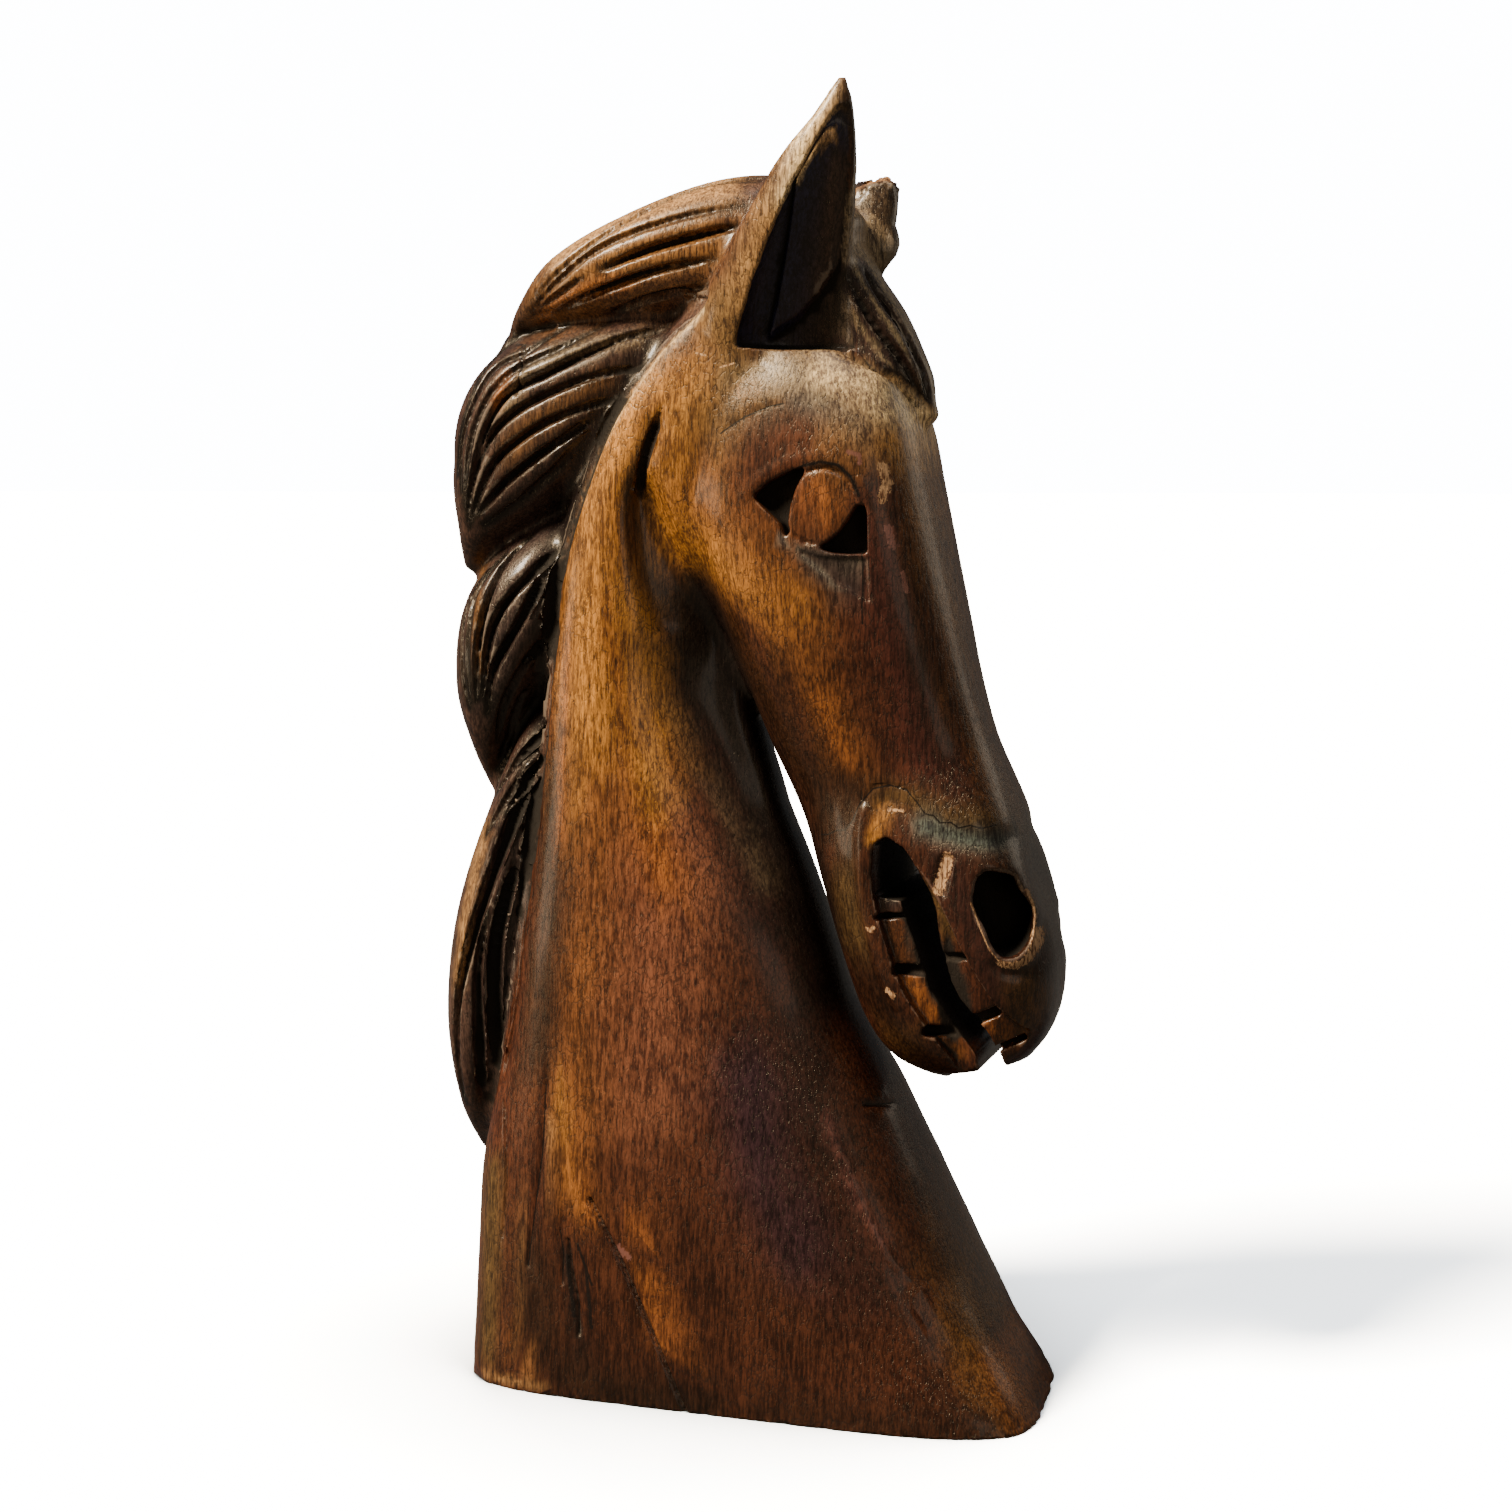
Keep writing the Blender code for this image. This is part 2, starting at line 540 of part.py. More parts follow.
def eye_cut(surface, hand, collection):
    """Almond pocket around an eyeball that is left standing as high as the side around it."""
    pocket = new_object("eye cut", side_prism(surface, "eye", EYE, hand, EYE_CUT_DEPTH), collection)
    ball = side_prism(surface, "eyeball", closed_curve(EYEBALL, 20), hand, 2 * EYE_CUT_DEPTH)
    boolean(pocket, ball, "DIFFERENCE", collection)
    mesh = pocket.data
    bpy.data.objects.remove(pocket)
    return mesh


def break_off(hand, shift):
    """Slanted block that takes away the lost tip of an ear."""
    block = bmesh.new()
    bmesh.ops.create_cube(block, size=1)
    tilt = Matrix.Rotation(math.radians(-14), 4, "Y") @ Matrix.Rotation(math.radians(hand * 16), 4, "X")
    bmesh.ops.transform(block, verts=block.verts, matrix=Matrix.Diagonal((0.08, 0.05, 0.06, 1)))
    bmesh.ops.transform(block, verts=block.verts, matrix=tilt)
    place = Vector(((30 + shift) * SQUARE, hand * 36 * SQUARE, BREAK_HEIGHT * SQUARE + 0.030))
    bmesh.ops.translate(block, verts=block.verts, vec=place)
    mesh = bpy.data.meshes.new("lost ear tip")
    block.to_mesh(mesh)
    block.free()
    return mesh


def tooth_gap(surface, ends, hand):
    x0, z0, x1, z1, wide = ends
    run = np.array((x1 - x0, z1 - z0), float)
    across = np.array((-run[1], run[0])) / np.linalg.norm(run) * wide * TOOTH_GAP_WIDTH / SQUARE / 2
    corners = [(x0 - across[0], z0 - across[1]), (x1 - across[0], z1 - across[1]),
               (x1 + across[0], z1 + across[1]), (x0 + across[0], z0 + across[1])]
    return side_prism(surface, "tooth gap", corners, hand, MOUTH_RECESS + TOOTH_GAP_DEPTH, 0.9)


def closed_curve(outline, count):
    outline = list(outline)
    around = outline[-1:] + outline + outline[:2]
    steps = (1 + np.arange(count) * len(outline) / count) / (len(around) - 1)
    return spline(around, steps)


def boolean(obj, mesh, operation, collection):
    tool = new_object("cutter", mesh, collection)
    tool.hide_render = True
    tool.display_type = "WIRE"
    cut = obj.modifiers.new(operation.lower(), "BOOLEAN")
    cut.operation = operation
    cut.solver = "EXACT"
    cut.use_self = True
    cut.object = tool
    bpy.context.view_layer.update()
    apply_modifiers(obj)


def carve_foot(obj, height=0.0):
    """Saw the foot off flat."""
    whole = bmesh.new()
    whole.from_mesh(obj.data)
    everything = whole.verts[:] + whole.edges[:] + whole.faces[:]
    cut = bmesh.ops.bisect_plane(whole, geom=everything, dist=1e-6, plane_co=(0, 0, height),
                                 plane_no=(0, 0, 1), clear_inner=True)
    rim = [item for item in cut["geom_cut"] if isinstance(item, bmesh.types.BMEdge)]
    bmesh.ops.contextual_create(whole, geom=rim)
    bmesh.ops.recalc_face_normals(whole, faces=whole.faces)
    whole.to_mesh(obj.data)
    whole.free()


def clear_scene():
    for obj in list(bpy.data.objects):
        bpy.data.objects.remove(obj)
    for collection in list(bpy.data.collections):
        bpy.data.collections.remove(collection)


def wood():
    material = bpy.data.materials.new("stained_wood")
    material.use_nodes = True
    surface = material.node_tree.nodes["Principled BSDF"]
    surface.inputs["Base Color"].default_value = (0.105, 0.044, 0.017, 1)
    surface.inputs["Roughness"].default_value = 0.42
    return material


def build():
    clear_scene()
    parts = bpy.data.collections.new("Wooden horse head sculpture")
    tools = bpy.data.collections.new("Cutters")
    for collection in (parts, tools):
        bpy.context.scene.collection.children.link(collection)
    tools.hide_render = True

    forms = [placed_sphere("neck", neck_place, 128, 128), placed_sphere("head", head_place, 128, 128)]
    forms += [placed_sphere(name, lock_place(rows)) for name, rows in LOCK_ROWS.items()]
    forms.append(placed_sphere("forelock", lock_place(FORELOCK_ROWS)))
    for hand, shift in ((-1, 0), (1, FAR_EAR_SHIFT)):
        forms.append(placed_sphere("ear", ear_place(EAR_ROWS, hand, shift), 48, 64))
    horse = new_object("horse_head", joined(forms, "horse_head"), parts)
    blend(horse, BLEND_VOXEL, BLEND_PASSES)
    sink_valley(horse, NECK_VALLEY, VALLEY_DEPTH)
    sink_valley(horse, CHEEK_VALLEY, CHEEK_DEPTH)
    thin_out(horse, FORM_TRIANGLES)
    surface = Surface(horse)

    gouges = []
    recesses = []
    deep = []
    for hand in (-1, 1):
        gouges += strand_cuts(surface, hand) + back_cuts(surface, hand)
        gouges.append(line_cut(surface, HAIRLINE[3:], hand, HAIRLINE_WIDTH, HAIRLINE_DEPTH, 0.3, 32))
        gouges.append(line_cut(surface, JAW_CUT, hand, JAW_CUT_WIDTH, JAW_CUT_DEPTH, 0.2))
        gouges.append(line_cut(surface, LOWER_LID, hand, LID_CUT_WIDTH, LID_CUT_DEPTH, 0.0))
        gouges.append(line_cut(surface, FOREHEAD_EDGE, hand, BROW_CUT_WIDTH, BROW_CUT_DEPTH, 0.2))
        gouges.append(line_cut(surface, MUZZLE_STEP, hand, MUZZLE_CUT_WIDTH, MUZZLE_CUT_DEPTH, -0.2, 24))
        recesses.append(eye_cut(surface, hand, tools))
        recesses.append(side_prism(surface, "lips", LIPS, hand, MOUTH_RECESS))
        recesses.append(nostril_cut(surface, hand))
        shift = 0 if hand < 0 else FAR_EAR_SHIFT
        recesses.append(placed_sphere("ear hollow", ear_place(EAR_HOLLOW_ROWS, hand, shift, 0.95), 16, 20))
        deep += [tooth_gap(surface, ends, hand) for ends in TOOTH_GAPS]
    for outline in (SLIT, TEETH_UNDERSIDE):
        deep.append(side_prism(surface, "mouth opening", outline, -1, 0, 1.0, -0.075))
    deep.append(break_off(1, FAR_EAR_SHIFT))
    boolean(horse, joined(gouges + recesses + deep, "all cuts"), "DIFFERENCE", tools)
    blend(horse, CARVE_VOXEL, 1)
    thin_out(horse, MOST_TRIANGLES)
    carve_foot(horse)
    horse.data.materials.clear()
    horse.data.materials.append(wood())
    return horse


horse = build()
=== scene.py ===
# %% [markdown]
# # Carved wooden horse head
# The sculpture is one block of hardwood, carved with gouges and chisels, stained dark and varnished. It
# stands on the sawn foot of its own neck. The mane lies in four locks, the near ear is whole, and the tip of
# the far ear has broken off. The horse faces +X, its right side faces -Y, and the foot lies on z = 0.
# The whole object is one piece, so this lesson builds one mesh, cuts it, wears it and stains it, and paints
# some light and shade into its colour.

import math

import bmesh
import bpy
import numpy as np
from mathutils import Matrix, Vector, noise
from mathutils.bvhtree import BVHTree
from mathutils.kdtree import KDTree


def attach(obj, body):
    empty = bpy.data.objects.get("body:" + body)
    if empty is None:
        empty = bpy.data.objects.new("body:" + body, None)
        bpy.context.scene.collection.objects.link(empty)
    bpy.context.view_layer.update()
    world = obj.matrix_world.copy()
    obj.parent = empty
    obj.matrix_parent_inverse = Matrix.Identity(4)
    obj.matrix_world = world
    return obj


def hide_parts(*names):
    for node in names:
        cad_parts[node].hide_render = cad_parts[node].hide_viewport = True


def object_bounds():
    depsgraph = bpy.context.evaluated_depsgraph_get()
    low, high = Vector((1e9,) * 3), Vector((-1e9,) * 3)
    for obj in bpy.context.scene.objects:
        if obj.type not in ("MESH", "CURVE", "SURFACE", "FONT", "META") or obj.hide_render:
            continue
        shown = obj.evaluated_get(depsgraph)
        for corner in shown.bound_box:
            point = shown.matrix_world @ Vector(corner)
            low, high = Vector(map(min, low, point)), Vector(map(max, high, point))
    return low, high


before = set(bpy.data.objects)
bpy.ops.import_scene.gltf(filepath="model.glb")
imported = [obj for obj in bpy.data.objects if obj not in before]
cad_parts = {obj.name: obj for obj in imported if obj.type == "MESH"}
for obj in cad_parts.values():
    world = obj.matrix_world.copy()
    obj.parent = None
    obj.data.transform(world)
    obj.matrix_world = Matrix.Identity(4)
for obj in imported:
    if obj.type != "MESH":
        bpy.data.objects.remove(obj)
frame_low, frame_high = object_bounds()
print("box of the plain solid", list(frame_low), list(frame_high))

HEIGHT = 0.500
SQUARE = HEIGHT / 500
HALF_BLOCK = 0.118 / 2

# %% [markdown]
# ## Drawing curves
# A carver lays the figure out on a squared drawing. Here 500 squares make the full height, so one square is
# a millimetre. A Catmull-Rom curve goes smoothly through a few rows of numbers, which keeps each outline
# short and easy to change. The other helpers read and write all points of a mesh at once with numpy.

# %% Curves and points
def spline(rows, steps):
    rows = np.asarray(rows, float)
    padded = np.vstack((2 * rows[0] - rows[1], rows, 2 * rows[-1] - rows[-2]))
    place = np.asarray(steps, float) * (len(rows) - 1)
    start = np.clip(place.astype(int), 0, len(rows) - 2)
    f = (place - start)[..., None]
    p0, p1, p2, p3 = (padded[start + k] for k in range(4))
    return 0.5 * (2 * p1 + (p2 - p0) * f + (2 * p0 - 5 * p1 + 4 * p2 - p3) * f**2
                  + (3 * p1 - p0 - 3 * p2 + p3) * f**3)


def closed_curve(outline, count):
    outline = list(outline)
    around = outline[-1:] + outline + outline[:2]
    return spline(around, (1 + np.arange(count) * len(outline) / count) / (len(around) - 1))


def by_first_column(rows, value):
    rows = np.asarray(rows, float)
    return spline(rows, np.interp(value, rows[:, 0], np.linspace(0, 1, len(rows))))[..., 1:]


def smooth_step(low, high, value):
    share = np.clip((value - low) / (high - low), 0, 1)
    return share * share * (3 - 2 * share)


def rounded(turn, squareness):
    power = 2 / squareness
    return (np.sign(np.cos(turn)) * np.abs(np.cos(turn)) ** power,
            np.sign(np.sin(turn)) * np.abs(np.sin(turn)) ** power)


def coordinates(mesh, what="co"):
    flat = np.empty(len(mesh.vertices) * 3, np.float32)
    if what == "co":
        mesh.vertices.foreach_get("co", flat)
    else:
        mesh.vertex_normals.foreach_get("vector", flat)
    return flat.reshape(-1, 3).astype(float)


def set_coordinates(mesh, points):
    mesh.vertices.foreach_set("co", np.asarray(points, np.float32).ravel())
    mesh.update()


# %% [markdown]
# ## The rough forms
# Before any detail a carver saws and rounds the big forms: neck, head, ears and the locks of the mane. Each
# one starts here as a ball from bmesh.ops.create_uvsphere. Its points are then moved to a loft: the share
# of the way from pole to pole gives the place along the form, and the angle gives the place round it. A
# ball has closed poles, so every form is closed as well.

# %% Neck and head
def placed_sphere(name, place, around=96, along=96):
    ball = bmesh.new()
    bmesh.ops.create_uvsphere(ball, u_segments=around, v_segments=along, radius=1)
    mesh = bpy.data.meshes.new(name)
    ball.to_mesh(mesh)
    ball.free()
    points = coordinates(mesh)
    share = np.arccos(np.clip(-points[:, 2], -1, 1)) / math.pi
    set_coordinates(mesh, place(share, np.arctan2(points[:, 1], points[:, 0])))
    return mesh


# Neck, by height: z, back x, front x, half thickness, squareness, narrowing of the throat
NECK_ROWS = (
    (-12, -117, 118, 0.995, 4.6, 0.00), (0, -117, 111, 0.995, 4.4, 0.00), (24, -117, 96.3, 0.985, 3.6, 0.02),
    (52, -116, 81.5, 0.97, 3.3, 0.04), (90, -114, 64, 0.94, 3.1, 0.10), (120, -109, 49.5, 0.91, 2.9, 0.16),
    (148, -105, 33.5, 0.88, 2.8, 0.22), (172, -102, 25, 0.86, 2.7, 0.26), (200, -98, 15.5, 0.82, 2.7, 0.31),
    (230, -94, 3.5, 0.79, 2.6, 0.38), (280, -89, -8, 0.74, 2.6, 0.44), (330, -84, 10, 0.72, 2.6, 0.30),
    (375, -68, 25, 0.68, 2.5, 0.05), (412, -40, 25, 0.60, 2.4, 0.00), (436, -18, 16, 0.43, 2.2, 0.00),
)
FOOT_SKEW = 0.08


def neck_place(share, turn):
    height = NECK_ROWS[0][0] + (NECK_ROWS[-1][0] - NECK_ROWS[0][0]) * share
    back, front, half, square, throat = by_first_column(NECK_ROWS, height).T
    across, side = rounded(turn, np.where(np.cos(turn) < 0, square + 1.2, square))
    x = (back + front) / 2 + (front - back) / 2 * across
    y = side * half * (1 - throat * smooth_step(-0.3, 0.9, across)) * HALF_BLOCK
    skew = FOOT_SKEW * smooth_step(-0.2, 0.8, across) * (1 - smooth_step(0, 60, height))
    return np.column_stack((x * SQUARE - skew * y, y, height * SQUARE))


# Head along its axis from the poll to the lips: distance, jaw offset, brow offset, half thickness, squareness
HEAD_TOP = np.array((5.0, 425.0))
HEAD_END = np.array((98.0, 135.0))
HEAD_ALONG = (HEAD_END - HEAD_TOP) / np.linalg.norm(HEAD_END - HEAD_TOP)
HEAD_AHEAD = np.array((-HEAD_ALONG[1], HEAD_ALONG[0]))
HEAD_ROWS = (
    (6, -26, 8, 0.30, 2.2), (15, -42, 21, 0.52, 2.4), (34, -52, 31, 0.67, 2.8), (50, -60, 35.5, 0.73, 3.1),
    (66, -64, 36, 0.76, 3.3), (84, -63, 34, 0.76, 3.3), (110, -61, 31.5, 0.74, 3.2),
    (139, -57.5, 29, 0.69, 3.1),
    (162, -55.5, 27, 0.62, 3.1), (184, -52.5, 26.5, 0.57, 3.1), (198, -51, 27.5, 0.59, 3.4),
    (212, -51, 28.5, 0.63, 3.8), (235, -51.5, 28.5, 0.64, 4.0), (256, -51.5, 28.5, 0.63, 3.8),
    (272, -51, 27, 0.60, 3.4), (284, -48.5, 23.5, 0.56, 3.1), (293, -44, 19, 0.50, 2.8),
    (301, -35, 12, 0.42, 2.6), (307, -25, 3, 0.28, 2.3),
)
JAW_NARROWING = 0.08


def head_place(share, turn):
    distance = HEAD_ROWS[0][0] + (HEAD_ROWS[-1][0] - HEAD_ROWS[0][0]) * share
    jaw, brow, half, square = by_first_column(HEAD_ROWS, distance).T
    across, side = rounded(turn, square)
    offset = (jaw + brow) / 2 + (brow - jaw) / 2 * across
    slim = 1 - JAW_NARROWING * smooth_step(0.1, 1.0, -across)
    flat = HEAD_TOP + distance[:, None] * HEAD_ALONG + offset[:, None] * HEAD_AHEAD
    return np.column_stack((flat[:, 0] * SQUARE, side * half * slim * HALF_BLOCK, flat[:, 1] * SQUARE))


forms = [placed_sphere("neck", neck_place, 160, 160), placed_sphere("head", head_place, 160, 160)]
print("neck and head", [len(mesh.vertices) for mesh in forms])

# %% [markdown]
# The ears are pricked and lean outwards, and their open sides turn a little forward. Ear and hollow share
# one function: the hollow is a slimmer cone whose middle is moved towards the open side, and it is cut out
# later. The locks and the forelock are flat lenses that follow a curved spine from root to tip.

# %% Ears, mane locks and forelock
EAR_ROWS = ((378, -2, 26, 6), (395, -12, 34, 11), (412, -18, 38, 14), (425, -15, 39, 14), (445, -5, 40.5, 13),
            (457, 3, 41.5, 11.5), (473, 13, 42, 8.5), (489, 26.5, 41, 5), (503.5, 36, 38, 1.2))
EAR_HOLLOW_ROWS = ((401, -1, 38, 7), (404, -6, 40, 11), (420, -2, 40, 11), (435, 3.5, 41, 10),
                   (460, 14.5, 42, 7), (478, 25.5, 42, 4.5), (492, 35, 40.5, 1.2))
EAR_FOOT_Y = 21
EAR_TIP_Y = 37
EAR_TURN = math.radians(25)
FAR_EAR_SHIFT = 1.5
EARS = ((-1, 0), (1, FAR_EAR_SHIFT))


def ear_place(rows, hand, shift, outward=0.0):
    def place(share, turn):
        height = rows[0][0] + (rows[-1][0] - rows[0][0]) * share
        back, front, depth = by_first_column(rows, height).T
        middle_y = EAR_FOOT_Y + (EAR_TIP_Y - EAR_FOOT_Y) * smooth_step(400, 500, height)
        whole_back, whole_front, _ = by_first_column(EAR_ROWS, np.clip(height, EAR_ROWS[0][0], 500)).T
        middle_x = (whole_back + whole_front) / 2 - 0.32 * (36 - middle_y)
        lateral = (back + front - whole_back - whole_front) / 2 + (front - back) / 2 * np.cos(turn)
        level = np.sin(turn) * depth + outward * by_first_column(EAR_ROWS, height).T[2]
        x = middle_x + lateral * math.cos(EAR_TURN) + level * math.sin(EAR_TURN)
        y = middle_y - lateral * math.sin(EAR_TURN) + level * math.cos(EAR_TURN)
        return np.column_stack(((x + shift) * SQUARE, hand * y * SQUARE, height * SQUARE))
    return place


# Mane locks from root to tip: x, z, half width across, half thickness
LOCK_ROWS = {
    "poll": ((34, 445, 8, 0.22), (14, 448, 20, 0.37), (-14, 445, 25, 0.50), (-50, 437, 22, 0.58),
             (-78, 429, 15.5, 0.56), (-94, 420, 8, 0.44), (-104, 412, 3, 0.30)),
    "crown": ((-25, 394, 28, 0.44), (-58, 388, 32, 0.60), (-91, 375, 36, 0.68), (-107, 352, 25, 0.64),
              (-116, 333, 12, 0.52), (-122, 318, 4, 0.33)),
    "crest": ((-50, 325, 24, 0.46), (-75, 316, 28, 0.64), (-97, 299, 29, 0.70), (-109, 275, 20, 0.66),
              (-112, 252, 10, 0.54), (-112, 232, 3, 0.33)),
    "tail": ((-60, 276, 20, 0.46), (-81, 252, 20, 0.60), (-96, 216, 21, 0.70), (-107, 178, 22, 0.74),
             (-112, 140, 21, 0.72), (-116, 108, 13, 0.58), (-119, 82, 3, 0.29)),
}
FORELOCK_ROWS = ((11, 451, 10, 0.21), (21, 440, 13, 0.33), (31, 421, 14, 0.37), (43, 403, 12, 0.31),
                 (54, 388, 8, 0.19), (63, 376, 3, 0.06))
# A small swelling between the first two locks, at the back of the mane
BRIDGE_ROWS = ((-94, 413, 4, 0.20), (-99.5, 409.5, 7, 0.30), (-104, 404, 8, 0.34), (-108, 398, 5, 0.30))


def lock_place(rows):
    def place(share, turn):
        middle = spline(rows, share)
        step = spline(rows, np.clip(share + 0.01, 0, 1)) - spline(rows, np.clip(share - 0.01, 0, 1))
        forward = step[:, :2] / np.linalg.norm(step[:, :2], axis=1)[:, None]
        across, side = rounded(turn, 2.4)
        outward = np.column_stack((forward[:, 1], -forward[:, 0]))
        flat = middle[:, :2] + outward * (middle[:, 2] * across)[:, None]
        return np.column_stack((flat[:, 0] * SQUARE, side * middle[:, 3] * HALF_BLOCK, flat[:, 1] * SQUARE))
    return place


forms += [placed_sphere(name, lock_place(rows)) for name, rows in LOCK_ROWS.items()]
forms.append(placed_sphere("forelock", lock_place(FORELOCK_ROWS)))
forms.append(placed_sphere("bridge", lock_place(BRIDGE_ROWS), 24, 24))
forms += [placed_sphere("ear", ear_place(EAR_ROWS, hand, shift), 64, 80) for hand, shift in EARS]
print("rough forms", len(forms))

# %% [markdown]
# ## One block
# On the real piece the forms run into each other, because they are all one block. A voxel Remesh modifier
# turns the overlapping forms into one skin, and a Smooth modifier rounds the inner corners as a rasp does.

# %% Merge the forms
workshop = bpy.data.collections.new("workshop")
bpy.context.scene.collection.children.link(workshop)


def joined(meshes, name):
    whole = bmesh.new()
    for mesh in meshes:
        whole.from_mesh(mesh)
    bmesh.ops.triangulate(whole, faces=[face for face in whole.faces if len(face.verts) > 4])
    bmesh.ops.recalc_face_normals(whole, faces=whole.faces)
    mesh = bpy.data.meshes.new(name)
    whole.to_mesh(mesh)
    whole.free()
    return mesh


def apply_modifiers(obj):
    graph = bpy.context.evaluated_depsgraph_get()
    mesh = bpy.data.meshes.new_from_object(obj.evaluated_get(graph))
    obj.modifiers.clear()
    obj.data = mesh


def blend(obj, voxel, passes):
    merge = obj.modifiers.new("merge", "REMESH")
    merge.mode = "VOXEL"
    merge.voxel_size = voxel
    soften = obj.modifiers.new("soften", "SMOOTH")
    soften.factor = 0.5
    soften.iterations = passes
    apply_modifiers(obj)


def thin_out(obj, triangles):
    now = sum(len(face.vertices) - 2 for face in obj.data.polygons)
    if now > triangles:
        thin = obj.modifiers.new("thin out", "DECIMATE")
        thin.ratio = triangles / now
        thin.use_collapse_triangulate = True
        apply_modifiers(obj)


FORM_VOXEL = 0.0020
FORM_PASSES = 7
horse = bpy.data.objects.new("carved_horse", joined(forms, "carved_horse"))
workshop.objects.link(horse)
blend(horse, FORM_VOXEL, FORM_PASSES)
print("merged block", len(horse.data.vertices), "points")

# %% [markdown]
# Two soft valleys shape each side: one runs down the neck behind the jaw, and a short one parts the round
# cheek from the neck. They are pressed in by moving points sideways, by less the further a point lies from
# the line, as a proportional edit or a sculpt brush would do it.

# %% Neck and cheek valleys
CHEEK_VALLEY = ((-37, 360, 0.0, 6), (-39, 345, 0.8, 7), (-31, 322, 1.0, 9), (-20, 298, 0.9, 9),
                (-12, 280, 0.4, 8), (-8, 268, 0.0, 8))
NECK_VALLEY = ((-40, 345, 0.5, 9), (-37, 320, 0.9, 12), (-26, 280, 1.0, 15), (-8, 242, 1.0, 16),
               (10, 208, 0.8, 15), (30, 179, 0.5, 13), (54, 138, 0.1, 12))
NECK_VALLEY_DEPTH = 0.0050
CHEEK_VALLEY_DEPTH = 0.0080
FORM_TRIANGLES = 24000


def near_line(places, line, steps=6):
    """Distance from each place to a line in the side view, its other columns there, and the side."""
    path = spline(line, np.linspace(0, 1, steps * len(line)))
    best = np.full(len(places), np.inf)
    side = np.ones(len(places))
    columns = np.zeros((len(places), path.shape[1] - 2))
    for start, end in zip(path[:-1], path[1:]):
        run = end[:2] - start[:2]
        away = places - start[:2]
        share = np.clip((away @ run) / (run @ run), 0, 1)
        gap = np.hypot(*(away - share[:, None] * run).T)
        closer = gap < best
        best[closer] = gap[closer]
        side[closer] = np.where(run[0] * away[closer, 1] < run[1] * away[closer, 0], 1, -1)
        columns[closer] = start[2:] + share[closer, None] * (end[2:] - start[2:])
    return best, columns, side


def sink_valley(obj, line, depth):
    points = coordinates(obj.data)
    gap, columns, _ = near_line(points[:, (0, 2)] / SQUARE, line)
    share, width = columns.T
    clear_of_middle = smooth_step(0.12, 0.40, np.abs(points[:, 1]) / HALF_BLOCK)
    points[:, 1] -= np.sign(points[:, 1]) * depth * share * np.exp(-((gap / width) ** 2)) * clear_of_middle
    set_coordinates(obj.data, points)


sink_valley(horse, NECK_VALLEY, NECK_VALLEY_DEPTH)
sink_valley(horse, CHEEK_VALLEY, CHEEK_VALLEY_DEPTH)
thin_out(horse, FORM_TRIANGLES)

# %% [markdown]
# ## Gouge cuts
# The strands of hair are what a V-shaped gouge leaves between its cuts. Each cut is a slim blade, its edge
# under the surface and its back above it. A search tree of the block finds the surface for each blade, so
# the cuts follow the form. The lines are laid out on one side and mirrored to the other.

# %% Blades
class Surface:
    def __init__(self, obj):
        skin = bmesh.new()
        skin.from_mesh(obj.data)
        self.tree = BVHTree.FromBMesh(skin)
        skin.free()

    def from_side(self, x, z, hand):
        start = Vector((x * SQUARE, hand * 0.3, z * SQUARE))
        place, direction, _, _ = self.tree.ray_cast(start, Vector((0, -hand, 0)))
        return (place, direction) if place else (None, None)

    def nearest(self, place):
        found, direction, _, gap = self.tree.find_nearest(place)
        return found, direction, gap


def blade(name, places, directions, width, depth, lean=0.0, along=16, ends=0.55):
    places = np.array(places, float)
    directions = np.array(directions, float)

    def place(share, turn):
        centre = spline(places, share)
        out = spline(directions, share)
        out = out / np.linalg.norm(out, axis=1)[:, None]
        step = spline(places, np.clip(share + 0.03, 0, 1)) - spline(places, np.clip(share - 0.03, 0, 1))
        step = step / np.linalg.norm(step, axis=1)[:, None]
        across = np.cross(step, out)
        full = np.clip(np.sin(math.pi * np.clip(share, 0, 1)), 0, 1) ** ends
        level = np.cos(turn)
        rise = np.where(level > 0.5, -depth * full, np.where(level < -0.5, 0.004, 0.0006))
        shift = np.sin(turn) * width / 2 * full + np.where(level > 0.5, lean * width * full, 0)
        return centre + out * rise[:, None] + across * shift[:, None]
    return placed_sphere(name, place, 4, along)


surface = Surface(horse)
smooth_block = surface

